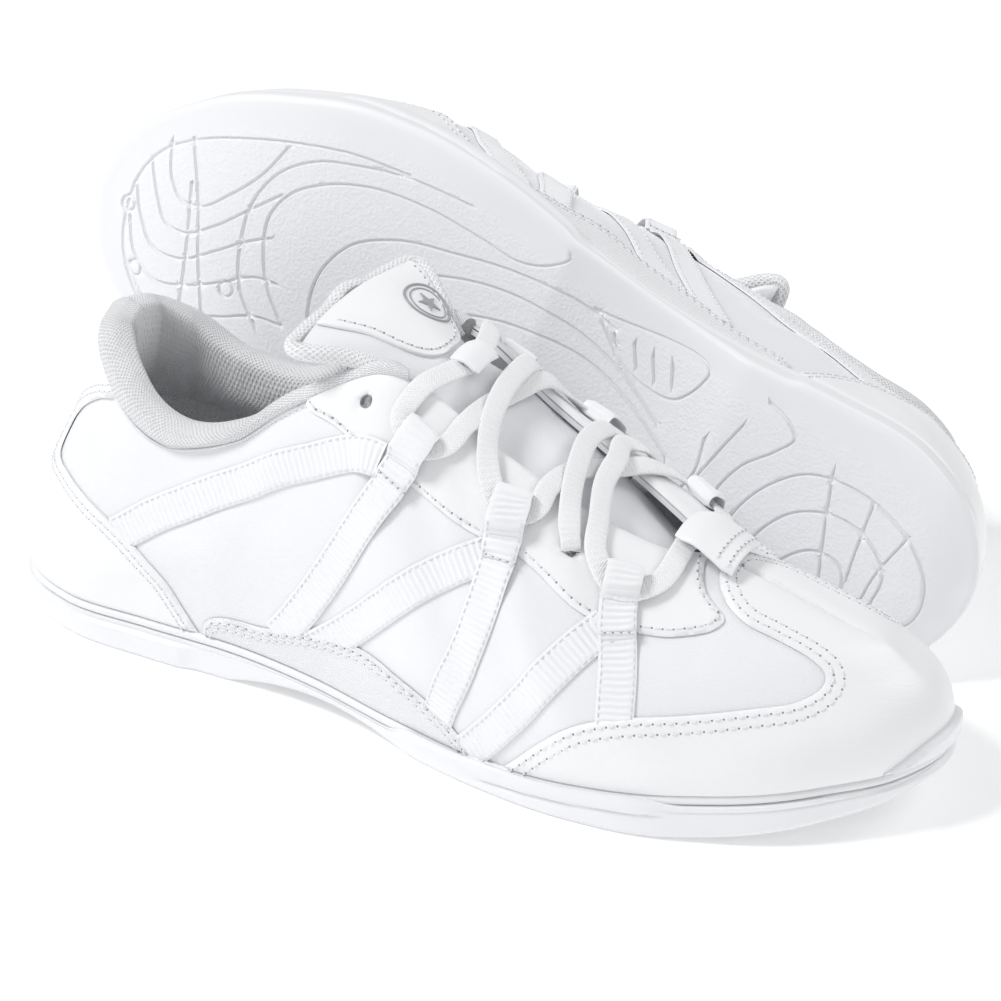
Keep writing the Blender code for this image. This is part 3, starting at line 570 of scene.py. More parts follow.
def overlay(name, outline, thickness, paint, slot, low=OVERLAY_GAP, edge=.8, holes=(), step=1.4):
    """Piece lying on the upper with rolled edges, its underside low millimetres off the satin."""
    flat, tris = fill(outline, holes, step)
    s, w = flat[:, 0], flat[:, 1]
    loops = [upper(loop[:, 0], loop[:, 1]) for loop in (outline,) + tuple(holes)]
    here = upper(s, w)
    gap = np.min([line_distance(here, loop) for loop in loops], axis=0)
    height = low + thickness * (.25 + .75 * quarter_round(gap / edge))
    body, faces = sheet_body(surface(s, w, height), surface(s, w, low + 0 * s), tris)
    Piece(name, body, faces, paint, slot, twice(flat * WEIGHT), replaces=(name,))


# ---------------------------------------------------------------- stitching
class Seam:
    """Collects the stitches and needle holes of one body."""

    def __init__(self):
        self.threads = []
        self.holes = []

    def run(self, line, normals, pitch=2.7, length=1.8, radius=.24, hole=.33):
        """Stitches along a line of points with a needle hole between each two, a low dome painted dark as the
        hole's shade.
        """
        path = resample(line, pitch)
        new, old = (np.linspace(0, 1, len(points)) for points in (path, line))
        up = np.stack([np.interp(new, old, normals[:, k]) for k in range(3)], 1)
        tangent, across, up = frames(path, up)
        share = np.array((-1, -.72, 0, .72, 1))
        size = np.array((.35, .85, 1, .85, .35))
        rise = np.array((-.5, .35, .75, .35, -.5))
        turn = np.arange(6) * math.pi / 3
        for c, t, a, u in zip(path, tangent, across, up):
            around = column(np.cos(turn)) * a + column(np.sin(turn)) * u
            rings = [c + t * (k * length / 2) + u * (radius * r) + around * radius * z
                     for k, z, r in zip(share, size, rise)]
            self.threads.append(tube(np.array(rings)))
        # Each needle hole is a low dome with the dark grey hole paint: painted shade of the hole.
        if hole:
            for c, t, a, u in zip(path, tangent, across, up):
                around = column(np.cos(turn)) * t + column(np.sin(turn)) * a
                dome = [c + t * (pitch / 2) + around * hole * z + u * h
                        for z, h in ((.9, -.25), (1, .02), (.62, .07), (.2, .03))]
                self.holes.append(tube(np.array(dome)))

    def on_upper(self, line, lift, **more):
        """Stitches along a line in (s, w), standing lift off the upper."""
        self.run(surface(line[:, 0], line[:, 1], lift), upper_normal(line[:, 0], line[:, 1]), **more)

    def make(self, prefix, body="shoe"):
        Piece(f"{prefix}stitching", *join(self.threads), "thread", "lace", body=body)
        # The needle holes take the dark hole paint: painted shade.
        Piece(f"{prefix}needle_holes", *join(self.holes), "hole", "emblem", body=body)


SHOE_SEAM = Seam()
TONGUE_SEAM = Seam()


# ---------------------------------------------------------------- sole unit
# Tread grooves of the outsole as plan curves (x, y) in millimetres.
GROOVES = (
    ((179, -36), (197, -34), (211, -30), (226, -24), (239, -17), (248, -9), (252, 0), (252, 10), (249, 20),
     (240, 30), (226, 36), (208, 38), (186, 38)),
    ((246, -13), (242, -4), (237, 0), (231, -1), (224, -8), (217, -18), (213, -28)),
    ((250, -6), (244, 3), (239, 8), (233, 8), (225, 2), (217, -7), (210, -15)),
    ((252, 2), (247, 10), (240, 16), (231, 15), (222, 8), (214, 1), (208, -3)),
    ((250, 12), (245, 20), (236, 24), (227, 21), (217, 15), (208, 9), (202, 8)),
    ((246, 24), (237, 30), (226, 29), (214, 24), (204, 19), (196, 18)),
    ((240, -17), (232, -2), (226, 12), (220, 24), (216, 33)),
    ((236, -6), (232, 6), (228, 20), (225, 33)),
    ((196, 18), (204, 10), (209, 1), (211, -8), (208, -16), (200, -23), (188, -28), (171, -30), (154, -29),
     (142, -28), (134, -31), (130, -35), (134, -39), (142, -40)),
    ((203, 22), (212, 13), (216, 2), (217, -9), (213, -20), (204, -28), (193, -32), (180, -35), (160, -36)),
    ((176, 24), (182, 14), (181, 2), (174, -8), (160, -15), (142, -19), (124, -18), (106, -12), (92, -4)),
    ((166, 26), (171, 16), (169, 5), (161, -3), (148, -9), (132, -12), (116, -11), (100, -5), (86, 3)),
    ((186, 20), (191, 11), (192, 0), (187, -11), (176, -18), (160, -22), (142, -25), (124, -25), (112, -22)),
    ((119, -25), (84, -22), (90, -12), (102, -12), (119, -25)),
    ((112, -21), (109, -16)), ((106, -21), (103, -15)), ((100, -20), (97, -14)), ((94, -20), (92, -15)),
    ((100, 3), (92, 4), (86, 10), (90, 12), (98, 7)),
    ((80, 12), (77, 3), (78, -7)), ((76, 4), (73, -6), (70, -15)),
    ((70, 18), (70, 6), (66, -5), (59, -13), (56, -18), (60, -22), (66, -24)),
    ((64, 20), (63, 8), (57, -4), (49, -11), (39, -13), (26, -11), (15, -5), (9, 3), (8, 12), (14, 20)),
    ((57, 22), (55, 10), (48, 0), (38, -4), (27, -2), (20, 5), (20, 14)),
    ((49, 23), (46, 13), (39, 7), (31, 8), (28, 15)),
    ((43, -14), (38, 4), (33, 20)), ((30, -12), (29, 4), (27, 22)), ((18, -8), (22, 6), (23, 20)),
)
TREAD_DOTS = ((252, 9), (243, 24), (215, 16))
TREAD_DOT_RADIUS = 2.1
RIM_STEPS = 420
WALL_ROWS = 18
GROOVE_DEPTH = .8


def rim(count, flare):
    """Plan points round the sole, flare outside the feather edge, crowded at heel and toe."""
    turn = np.linspace(0, 2, count, endpoint=False)
    s = turn - .5 * np.sin(2 * math.pi * turn) / (2 * math.pi)
    return s, feather(s) + outward(s) * np.reshape(flare, (-1, 1))


def side_lobes(x, z):
    """Swell of the outsole's wall: a heel pad, a hollow waist and a lobe under the ball."""
    heel = 1 - smooth((x - 60) / 4)
    ball = smooth((x - 130) / 7)
    lobe_top = 6.2 + 6.6 * smooth((x - 130) / 90)
    return .9 * np.maximum(heel, ball) * (1 - smooth((z - lobe_top) / 1.2))


def ball_lobe(x):
    """Where the outsole climbs over the midsole beside the ball."""
    return smooth((x - 126) / 9) * smooth((212 - x) / 14)


def groove_lines():
    """Every groove as a fine plan line."""
    lines = []
    for groove in GROOVES:
        points = np.asarray(groove, float)
        lines.append(curve(points, 1.1, (1, 1)) if len(points) > 2 else resample(points, 1.1))
    turn = np.linspace(0, 2 * math.pi, 13)
    for dot in TREAD_DOTS:
        lines.append(np.stack([np.cos(turn), np.sin(turn)], 1) * TREAD_DOT_RADIUS + dot)
    return lines


def tread_depth(plan, lines):
    """How deep the tread is cut at each plan point."""
    cut = np.zeros(len(plan))
    for line in lines:
        near = ((plan > line.min(0) - 2) & (plan < line.max(0) + 2)).all(1)
        if near.any():
            gap = line_distance(plan[near], line, closed=False)
            cut[near] = np.maximum(cut[near], 1 - smooth((gap - .12) / .5))
    return cut * GROOVE_DEPTH


def tread_mesh(edge, lines):
    """Triangles over the sole's plan with rows of points along each groove."""
    low, high = edge.min(0), edge.max(0)
    lattice = grid(np.arange(low[0], high[0], 2.6), np.arange(low[1], high[1], 2.6))
    gap = np.min([line_distance(lattice, line, closed=False) for line in lines], axis=0)
    extra = [lattice[gap > 1.6]]
    for line in lines:
        along = unit(np.gradient(line, axis=0))
        aside = np.stack([-along[:, 1], along[:, 0]], 1)
        extra += [line + aside * d for d in (-1.25, -.62, -.12, .12, .62, 1.25)]
    extra = np.vstack(extra)
    extra = extra[points_inside(extra, edge)]
    extra = extra[line_distance(extra, edge) > .9]
    _, index = np.unique((extra / .28).round().astype(int), axis=0, return_index=True)
    extra = extra[np.sort(index)]
    ring = list(range(len(edge)))
    verts, _, tris, _, _, _ = delaunay_2d_cdt([Vector(p) for p in np.vstack([edge, extra])],
                                              list(zip(ring, ring[1:] + ring[:1])), [ring], 1, 1e-5)
    return np.array([(v.x, v.y) for v in verts]), np.array([list(t) for t in tris])


def wall_flare(x, z, base, level):
    """How far the outsole's wall stands outside the feather edge."""
    round_foot = 1.6 * (1 - quarter_round((z - base) / 1.8))
    lobe = ball_lobe(x)
    ridge = -.45 * bump(level, .84, .04) * (1 - lobe) + .75 * lobe * smooth(level * 2 - .6)
    slit = -.8 * bump(z, 3.4 + (x - 158.7) * .08, .45) * smooth((x - 156) / 4) * smooth((208 - x) / 4)
    return 1.7 - round_foot + side_lobes(x, z) + ridge + slit


def make_outsole():
    s, edge = rim(RIM_STEPS, np.full(RIM_STEPS, .15))
    out = outward(s)
    lines = groove_lines()
    plan, tris = tread_mesh(edge[:, :2], lines)
    inset = line_distance(plan, edge[:, :2])
    cut = tread_depth(plan, lines) * smooth((inset - 1.2) / 1.5)
    pads = smooth((inset - 6.5) / 1.2) * (1 - smooth(cut / GROOVE_DEPTH * 1.5))
    base = sole_bottom(edge[:, 0]) + PEBBLE_RISE
    rise = cut + PEBBLE_RISE * (1 - pads * smooth(inset / 12))
    foot = np.column_stack([plan, sole_bottom(plan[:, 0]) + rise])
    top = edge_height(edge[:, 0]) - SIDEWALL_DROP + 2.9 * ball_lobe(edge[:, 0])
    wall = []
    for level in np.linspace(1, 0, WALL_ROWS):
        z = base + .25 + (top - base - .25) * level
        flare = wall_flare(edge[:, 0], z, base, level)
        wall.append(np.column_stack([(feather(s) + out * flare[:, None])[:, :2], z]))
    wall = np.stack(wall, 1)
    start = len(foot)
    inner = start + RIM_STEPS * WALL_ROWS
    lid = np.column_stack([edge[:, :2] - out[:, :2] * 6, edge_height(edge[:, 0]) - SIDEWALL_DROP])
    points = np.vstack([foot, wall.reshape(-1, 3), lid])
    here, following = np.arange(RIM_STEPS), np.roll(np.arange(RIM_STEPS), -1)
    faces = tris.tolist() + shell_faces(RIM_STEPS, WALL_ROWS, True, start)
    low = start + here * WALL_ROWS + WALL_ROWS - 1
    faces += np.stack([low, low[following], following, here], 1).tolist()
    high = start + here * WALL_ROWS
    faces += np.stack([high[following], high, inner + here, inner + following], 1).tolist()
    faces.append((inner + here[::-1]).tolist())
    mask = np.concatenate([pads, np.zeros(len(points) - start)])
    Piece("outsole", points, faces, "rubber", "rubber", replaces=("outsole",), mask=mask)


def make_midsole():
    """Foam slab that shows as a thin rounded band all round the shoe."""
    low, high, flare, bulge = -2.6, -.1, .5, 1.2
    s, edge = rim(400, np.zeros(400))
    out = outward(s)
    turn = np.radians(np.linspace(-90, 90, 9))
    section = list(zip(flare + bulge * np.cos(turn), (low + high) / 2 + (high - low) / 2 * np.sin(turn)))
    section += [(-4, high), (-4, low)]
    rings = np.stack([edge + out * f + (0, 0, z) for f, z in section], 1)
    Piece("midsole", *tube(rings, True), "foam", "foam", replaces=("midsole",))


# Middle line of the footbed.
SPINE_X = (38, 100, 150, 220)
SPINE_Y = (1.5, -4.5, -4, 3)


def make_liner():
    """Footbed with its edge turned up, inside the lining."""
    s, edge = rim(200, np.zeros(200))
    out = outward(s)
    spine_x = np.clip(edge[:, 0], SPINE_X[0], SPINE_X[-1])
    spine = np.stack([spine_x, spline(SPINE_X, SPINE_Y, spine_x)], 1)
    rows = []
    for share in (0, .06, .15, .3, .5, .75, 1):
        plan = (edge - out * 4.6)[:, :2] * (1 - share) + spine * share
        z = edge_height(plan[:, 0]) + 4.6 - 1.1 * smooth(share * 2) - .8 * (share == 0)
        rows.append(np.stack([plan[:, 0], plan[:, 1], z], 1))
    top = np.stack(rows, 1)
    under = top[:, ::-1].copy()
    under[..., 2] = edge_height(under[..., 0]) + 1.9
    grid = np.concatenate([top[:, ::-1], under[:, ::-1]], 1)
    count = grid.shape[1]
    points = grid.reshape(-1, 3)
    Piece("sock_liner", points, shell_faces(200, count, True), "knit", "mesh", grid[..., :2].reshape(-1, 2),
          replaces=("sock_liner",))


def make_toe_bumper():
    outline = closed(round_toe(curve(BUMPER_SIDE)))
    overlay("toe_bumper", outline, 2.2, "rubber", "rubber", low=1.35, edge=1.6, step=1.0)


# ---------------------------------------------------------------- upper
SATIN_THICKNESS = 1.4
VAMP_START = .6


def side_outline(start, end):
    """Outline of the whole height of the upper between two stations."""
    return resample([(start, 0), (end, 0), (end, 1), (start, 1), (start, 0)], 1.5, WEIGHT)[:-1]


def skin(name, outline, holes):
    flat, tris = fill(outline, holes, 1.6)
    s, w = flat[:, 0], flat[:, 1]
    points, faces = sheet_body(surface(s, w), surface(s, w, 0 * s - SATIN_THICKNESS), tris)
    Piece(name, points, faces, "satin", "satin", twice(flat * WEIGHT), replaces=(name,))


def make_skins():
    for label, sign in SIDES:
        hole = circle_on_upper(*EYELETS[0], EYELET_RADIUS, sign)
        skin(f"quarter_{label}", side_outline(*sorted((0, VAMP_START * sign))), (hole,))
    medial = circle_on_upper(*EYELETS[1], EYELET_RADIUS, 1)
    lateral = circle_on_upper(*EYELETS[1], EYELET_RADIUS, -1) + (2, 0)
    skin("vamp", side_outline(VAMP_START, 2 - VAMP_START), (medial, lateral))


def stitch_rows(path, offsets, lift, **more):
    """Rows of stitches beside a line on the upper, each offset millimetres to its right."""
    for offset in offsets:
        SHOE_SEAM.on_upper(shift(path, offset), lift, **more)


def make_heel_overlay():
    side = curve(HEEL_OVERLAY_SIDE)
    overlay("heel_overlay", closed(both_sides(side)), OVERLAY_THICKNESS, "leather", "leather")
    for sign in (-1, 1):
        stitch_rows(side[3:-6] * (sign, 1), (1.7 * sign, 3.4 * sign), OVERLAY_TOP, hole=.22)


def make_toe_cap():
    side = curve(TOE_CAP_SIDE)
    overlay("toe_cap", closed(round_toe(side)), OVERLAY_THICKNESS, "leather", "leather")
    for sign in (-1, 1):
        stitch_rows(side[2:-2] * (sign, 1), (-1.7 * sign, -4.3 * sign), OVERLAY_TOP, pitch=2.9)


def make_eyestays():
    for label, sign in SIDES:
        holes = tuple(circle_on_upper(*e, EYELET_RADIUS, sign) for e in EYELETS)
        path = on_side(curve(EYESTAY), sign)
        overlay(f"eyestay_{label}", closed(path), OVERLAY_THICKNESS, "leather", "leather", holes=holes)
        stitch_rows(path[2:-2], (1.6 * sign,), OVERLAY_TOP)


def make_saddles():
    for label, sign in SIDES:
        path = on_side(curve(SADDLE), sign)
        overlay(f"saddle_{label}", closed(path), 1.0, "saddle", "binding")
        stitch_rows(path[2:-2], (-1.2 * sign, -3.0 * sign), 1.3, hole=.24)


# ---------------------------------------------------------------- webbing straps
RIB_PITCH = 1.7
LOOP_RADIUS = 1.55
# The eyestay's lower edge, out of the straps' way behind the eyestay.
STAY_S, STAY_W = zip((.44, 1.3), *EYESTAY[1:16])


def leg_lift(s, w, second):
    """How high a leg lies: on the satin, over the first leg, over the eyestay, then as the lace's loop."""
    lift = .22 + 1.35 * smooth((w - spline(STAY_S, STAY_W, np.abs(s)) + .045) / .05)
    if second:
        lift = lift + .95 * smooth((w - .50) / .1) + 3.0 * smooth((w - .70) / .05)
    return lift


STRIP_V = np.linspace(-1, 1, 13)


def ribbed_strip(centre, across, up, laid):
    """Closed webbing strip with ribs across it and smooth selvedges, which lies on the points laid."""
    length = distances(centre)
    v = STRIP_V
    body = 1 - smooth((np.abs(v) - .74) / .08)
    rib = .5 + .5 * np.cos(2 * math.pi * (length / RIB_PITCH))[:, None]
    top = .50 + .40 * rib * body[None, :] + .12 * (1 - body[None, :]) - .25 * (np.abs(v) > .99)
    half = LEG_WIDTH / 2
    base = centre[:, None] + across[:, None] * (v * half)[None, :, None]
    count = len(laid)
    share = smooth((count - np.arange(count)) / 14)[:, None, None]
    base[:count] = base[:count] * (1 - share) + laid * share
    under = (base + up[:, None] * .02)[:, ::-1]
    points, faces = tube(np.concatenate([base + up[:, None] * top[..., None], under], 1))
    plan = grid(length, np.concatenate([v, -v]) * half)
    return points, faces, tube_plan(plan)


def leg_line(points, sign, second):
    """Middle line of a leg with its across and up directions; a second leg ends in the lace's loop."""
    path = on_side(curve(points, RIB_PITCH / 6), sign)
    s, w = path[:, 0], path[:, 1]
    up = upper_normal(s, w)
    centre = surface(s, w, leg_lift(s, w, second))
    tangent, across, up = frames(centre, up)
    laid = []
    for v in STRIP_V:
        side = shift(path, v * LEG_WIDTH / 2)
        laid.append(surface(side[:, 0], side[:, 1], leg_lift(s, w, second)))
    laid = np.stack(laid, 1)
    if second:
        t, u = tangent[-1], up[-1]
        bend_up = [u * math.cos(a) + t * math.sin(a) for a in np.linspace(0, math.pi, 16)[1:]]
        bend = [centre[-1] - u * LOOP_RADIUS + way * LOOP_RADIUS for way in bend_up]
        back = [bend[-1] - t * d for d in np.arange(.3, 7.5, .3)]
        centre = np.vstack([centre, bend, back])
        up = np.vstack([up, bend_up, [-u] * len(back)])
        across = np.vstack([across, [across[-1]] * (len(bend) + len(back))])
    return path, centre, across, up, laid


def make_straps():
    for label, sign in SIDES:
        for number, legs in enumerate(STRAPS, 1):
            parts, plans = [], []
            for k, leg in enumerate(legs):
                path, centre, across, up, laid = leg_line(leg, sign, k == 1)
                points, faces, plan = ribbed_strip(centre, across, up, laid)
                parts.append((points, faces))
                plans.append(plan)
                sewn = slice(6, len(path) - (26 if k else 4))
                for edge in (laid[sewn, 1], laid[sewn, -2]):
                    line = edge + up[sewn] * .66
                    SHOE_SEAM.run(line, up[sewn], pitch=2.1, length=1.5, radius=.2, hole=None)
                if k:
                    at = sewn.stop - 28
                    bar = centre[at] + across[at] * column(np.linspace(-4, 4, 9)) + up[at] * .9
                    SHOE_SEAM.run(bar, np.tile(up[at], (9, 1)), pitch=2.0, length=1.5, radius=.22, hole=.22)
            points, faces = join(parts)
            name = f"strap_{label}_{number}"
            Piece(name, points, faces, "webbing", "webbing", np.vstack(plans), replaces=(name,))


# ---------------------------------------------------------------- lining and padded collar
COLLAR_SEAM_S = (0, .132, .17, .232, .297, .358, .427, .48, .54)
COLLAR_SEAM_W = (.985, .925, .91, .92, .945, .955, .965, .98, .985)
COLLAR_END = .54


def collar_section(s):
    """Section of the padded collar at each s: from its outer seam over the rim, down inside and back up.

    Each row has one place for the collar's thin front ends and one for its full thickness.
    """
    seam = spline(COLLAR_SEAM_S, COLLAR_SEAM_W, np.abs(s))
    taper = smooth((.485 - np.abs(s)) / .09)
    rim_point = topline(s)
    out = unit(upper_normal(s, .97) * (1, 1, 0))
    t = taper[:, None]
    rows = [surface(s, seam, .15 + 0 * s), surface(s, (seam * .6 + .4), 1.2 + 1.1 * taper)]
    for thin, full, low, high in ((-1.1, -1.7, 2.0, 1.6), (1.0, 1.6, 2.9, 3.3), (2.6, 4.4, 2.3, 3.2),
                                  (3.4, 7.2, .7, 1.0)):
        rows.append(rim_point - out * (thin + (full - thin) * t) + UP * (low + (high - low) * t))
    for w, thin, full in ((.90, 2.2, 8.2), (.80, 2.2, 8.4), (.70, 2.2, 7.0), (.61, 2.2, 5.2), (.60, 2.2, 2.2),
                          (.75, 1.75, 1.75), (.90, 1.7, 1.7)):
        rows.append(upper(s, w) - upper_normal(s, w) * (thin + (full - thin) * t))
    return np.stack(rows, 1)


def make_collar():
    s = np.linspace(-COLLAR_END, COLLAR_END, 150)
    coarse = collar_section(s)
    loop = np.concatenate([coarse, coarse[:, :1]], 1)
    knots = np.linspace(0, 1, loop.shape[1])
    points, faces = tube([spline(knots, section, np.linspace(0, 1, 56, endpoint=False)) for section in loop])
    flat = grid(s * 300, np.linspace(0, 60, 56))
    Piece("collar_padding", points, faces, "knit", "mesh", tube_plan(flat),
          replaces=("collar_padding",), padded=.55, swell=.9)
    seam = spline(COLLAR_SEAM_S, COLLAR_SEAM_W, np.abs(s))
    edge = surface(s, seam - .012, .25 + 0 * s)
    Piece("collar_seam", *cord(edge[4:-4], upper_normal(s, seam)[4:-4], .42, 8), "thread", "lace")


def inner_sheet(name, s, w, depths, paint, slot):
    """Sheet inside the upper over a range of stations and heights, between two depths."""
    S, W = np.meshgrid(s, w, indexing="ij")
    front, back = (upper(S, W) - upper_normal(S, W) * depth for depth in depths)
    flat = np.stack([S * 300, W * 75], -1).reshape(-1, 2)
    Piece(name, *slab(front, back), paint, slot, twice(flat), replaces=(name,))


def make_lining():
    inner_sheet("lining", np.linspace(-.58, .58, 150), np.linspace(.07, .64, 30), (4.6, 3.9),
                "lining", "lining")


def make_counter():
    inner_sheet("heel_counter", np.linspace(-.24, .24, 60), np.linspace(.05, .55, 12), (2.2, 3.2),
                "board", "stiffener")


EYELET_DEPTH = 1.7


def make_eyelets():
    """Bored wall and bottom of each lace hole, painted dark grey: painted shade inside the hole."""
    parts = []
    for sign in (-1, 1):
        for station, height in EYELETS:
            rings = []
            for radius, lift in ((1.0, .9), (1.0, -EYELET_DEPTH), (.02, -EYELET_DEPTH)):
                loop = circle_on_upper(station, height, EYELET_RADIUS * radius, sign)
                rings.append(surface(loop[:, 0], loop[:, 1], lift + 0 * loop[:, 0]))
            points = np.stack(rings, 1)
            parts.append((points.reshape(-1, 3), shell_faces(*points.shape[:2], True)))
    Piece("eyelet_hole_shade", *join(parts), "hole", "emblem")


# ---------------------------------------------------------------- tongue
TONGUE_LENGTH = distances(np.array(TONGUE)[:, :2])
TONGUE_FREE = TONGUE_LENGTH[6]


def tongue_point(d, a):
    """Point of the tongue's upper face: d along it from the vamp, a across in -1..1."""
    d, a = np.broadcast_arrays(np.asarray(d, float), np.asarray(a, float))
    row = spline(TONGUE_LENGTH, TONGUE, d)
    wing = 1 + (TONGUE_WING - 1) * (1 - smooth((d - TONGUE_FREE + 14) / 16))
    corner = np.clip((d - TONGUE_LENGTH[-1] + 7) / 7.1, 0, 1)
    y = a * row[..., 2] * wing * np.sqrt(1 - corner ** 6)
    free = smooth((d - TONGUE_FREE) / 25)
    bow = (a * wing) ** 2
    drop = row[..., 3] * bow * 1.8 / (1 + .8 * bow) - TONGUE_ROLL * y * free
    return np.stack([row[..., 0] + TONGUE_TWIST * y * free, y, row[..., 1] - drop], -1)


def tongue_normal(d, a):
    e = .5
    d, a = np.broadcast_arrays(np.asarray(d, float), np.asarray(a, float))
    ahead = np.minimum(d + e, TONGUE_LENGTH[-1])
    along = tongue_point(ahead, a) - tongue_point(ahead - 2 * e, a)
    aside = tongue_point(d, a + .02) - tongue_point(d, a - .02)
    return unit(np.cross(aside, along))


def make_tongue():
    length = TONGUE_LENGTH[-1]
    d = np.linspace(0, length, 96)
    a = np.linspace(-1, 1, 41)
    D, A = np.meshgrid(d, a, indexing="ij")
    thick = spline((0, 60, 85, length), (3.6, 4.2, 6.0, 5.4), D)
    edge = np.sqrt(np.clip(1 - np.abs(A) ** 5, 0, 1))
    end = quarter_round((length - D) / 4)
    full = .18 + .82 * edge * end
    puff = .5 * np.sin(D / 5.5) * bump(D, 45, 26) * (1 - A ** 2)
    normal = tongue_normal(D, A)
    middle = tongue_point(D, A) - normal * (thick / 2 + .2)[..., None]
    top = middle + normal * (thick / 2 * full + puff * .6)[..., None]
    bottom = middle - normal * (thick / 2 * full)[..., None]
    rings = np.concatenate([top, bottom[:, ::-1]], 1)
    points, faces = tube(rings)
    flat = np.stack([D, A * 18], -1)
    plan = np.concatenate([flat, flat[:, ::-1]], 1).reshape(-1, 2)
    Piece("tongue_padding", points, faces, "satin", "satin", tube_plan(plan),
          replaces=("tongue_base", "tongue_top"), body="bend", padded=.5, swell=.6)


PATCH_LIFT = 1.0
PATCH_GAP = .3
PATCH_START = 84
PATCH_END = TONGUE_LENGTH[-1] - 3.4


def patch_side(t, reach):
    """How far across the leather patch reaches, at t from its lower edge to the tongue's free end."""
    return reach * (1 - (1 - t) ** 5) ** (1 / 2.2)


def make_patch():
    t = np.linspace(0, 1, 60) ** 2
    share = np.sin(np.linspace(-math.pi / 2, math.pi / 2, 64))
    T, S = np.meshgrid(t, share, indexing="ij")
    left, right = patch_side(T, -.63), patch_side(T, .90)
    A = (left + right) / 2 + (right - left) / 2 * S
    D = PATCH_START + (PATCH_END - PATCH_START) * T
    near = np.minimum(np.minimum(D - PATCH_START, PATCH_END - D), np.minimum(A - left, right - A) * 18)
    height = PATCH_LIFT * (.3 + .7 * quarter_round(near / .8))
    normal = tongue_normal(D, A)
    base = tongue_point(D, A) + normal * PATCH_GAP
    flat = np.stack([D, A * 25], -1).reshape(-1, 2)
    Piece("tongue_patch", *slab(base + normal * height[..., None], base), "leather", "leather",
          twice(flat), replaces=("tongue_patch",), body="bend")
    down = np.linspace(.93, 0, 60) ** 2
    along = PATCH_START + 2 + (PATCH_END - PATCH_START - 3) * np.concatenate([down, down[-2::-1]])
    across = np.concatenate([patch_side(down, -.54), patch_side(down[-2::-1], .81)])
    TONGUE_SEAM.run(tongue_point(along, across) + tongue_normal(along, across) * (PATCH_LIFT + .32),
                    tongue_normal(along, across), pitch=2.6)


BINDING_STEP = .8
BINDING_RADIUS = 2.3


def make_binding():
    """Padded knitted roll round the free end of the tongue, down both sides of it."""
    low = TONGUE_FREE + 6
    rise = low + (TONGUE_LENGTH[-1] - low) * np.sin(np.linspace(0, math.pi / 2, 60))
    over = np.linspace(-1, 1, 30)[1:-1]
    path = np.vstack([np.stack([rise, np.full(60, -1.0)], 1), np.stack([np.full(28, rise[-1]), over], 1),
                      np.stack([rise[::-1], np.full(60, 1.0)], 1)])
    line = tongue_point(path[:, 0], path[:, 1]) - tongue_normal(path[:, 0], path[:, 1]) * .9
    line = resample(line, BINDING_STEP)
    line = np.stack([running_mean(line[:, k], 7) for k in range(3)], 1)
    steps = np.arange(len(line))
    taper = .35 + .65 * smooth(np.minimum(steps, steps[::-1]) / 14)
    normals = np.tile((-.61, 0, .79), (len(line), 1))
    points, faces = cord(line, normals, BINDING_RADIUS * taper, 18)
    flat = grid(steps * BINDING_STEP, np.arange(18) * .95)
    Piece("tongue_binding", points, faces, "knit", "mesh", tube_plan(flat), body="tongue")


def make_emblem():
    """Plain ring with a small five-pointed star, raised on the patch."""
    centre_d = TONGUE_LENGTH[-1] - 19

    def spot(x, y, lift):
        d = centre_d + x
        a = y / 17.5 + .5
        return tongue_point(d, a) + tongue_normal(d, a) * (PATCH_LIFT + PATCH_GAP + column(lift))

    parts = []
    turn = np.linspace(0, 2 * math.pi, 72, endpoint=False)
    for radius, size in ((6.6, .4), (5.2, .25)):
        line = spot(np.cos(turn) * radius, np.sin(turn) * radius, .05 + 0 * turn)
        parts.append(cord(line, np.tile((-.5, 0, .86), (72, 1)), size, 8, closed=True))
    turn = np.arange(10) * math.pi / 5
    radius = np.where(np.arange(10) % 2, 1.5, 3.6)
    x, y = np.cos(turn) * radius, np.sin(turn) * radius
    middle = np.zeros(1)
    body = np.vstack([spot(x, y, np.full(10, -.05)), spot(x * .93, y * .93, np.full(10, .38)),
                      spot(middle, middle, middle + .62), spot(middle, middle, middle - .05)])
    walls = [(i, (i + 1) % 10, 10 + (i + 1) % 10, 10 + i) for i in range(10)]
    caps = [(10 + i, 10 + (i + 1) % 10, 20) for i in range(10)] + [((i + 1) % 10, i, 21) for i in range(10)]
    Piece("tongue_emblem", *join(parts + [(body, walls + caps)]), "emblem", "emblem",
          replaces=("tongue_emblem",), body="tongue")


# ---------------------------------------------------------------- lace and what holds it
def lace_line():
    """Middle line of the lace, with the way its flat face looks."""
    knots, normals = [], []
    for entry in LACE_ROUTE:
        if entry[0] in ("L", "M"):
            s, w, lift = entry[1:]
            s = -s if entry[0] == "L" else s
            normal = upper_normal(s, w)
            knots.append(upper(s, w) + normal * lift)
            share = smooth((w - .84) / .12) * .7
            normals.append(normal * (1 - share) + np.array(TONGUE_NORMAL) * share)
        else:
            knots.append(np.array(entry, float))
            normals.append(np.array(TONGUE_NORMAL, float))
    knots, normals = np.array(knots), np.array(normals)
    length = distances(knots)
    t = np.linspace(0, length[-1], int(length[-1] / LACE_STEP))
    line = resample(spline(length, knots, t), LACE_STEP)
    up = spline(length, normals, np.linspace(0, length[-1], len(line)))
    return line, up


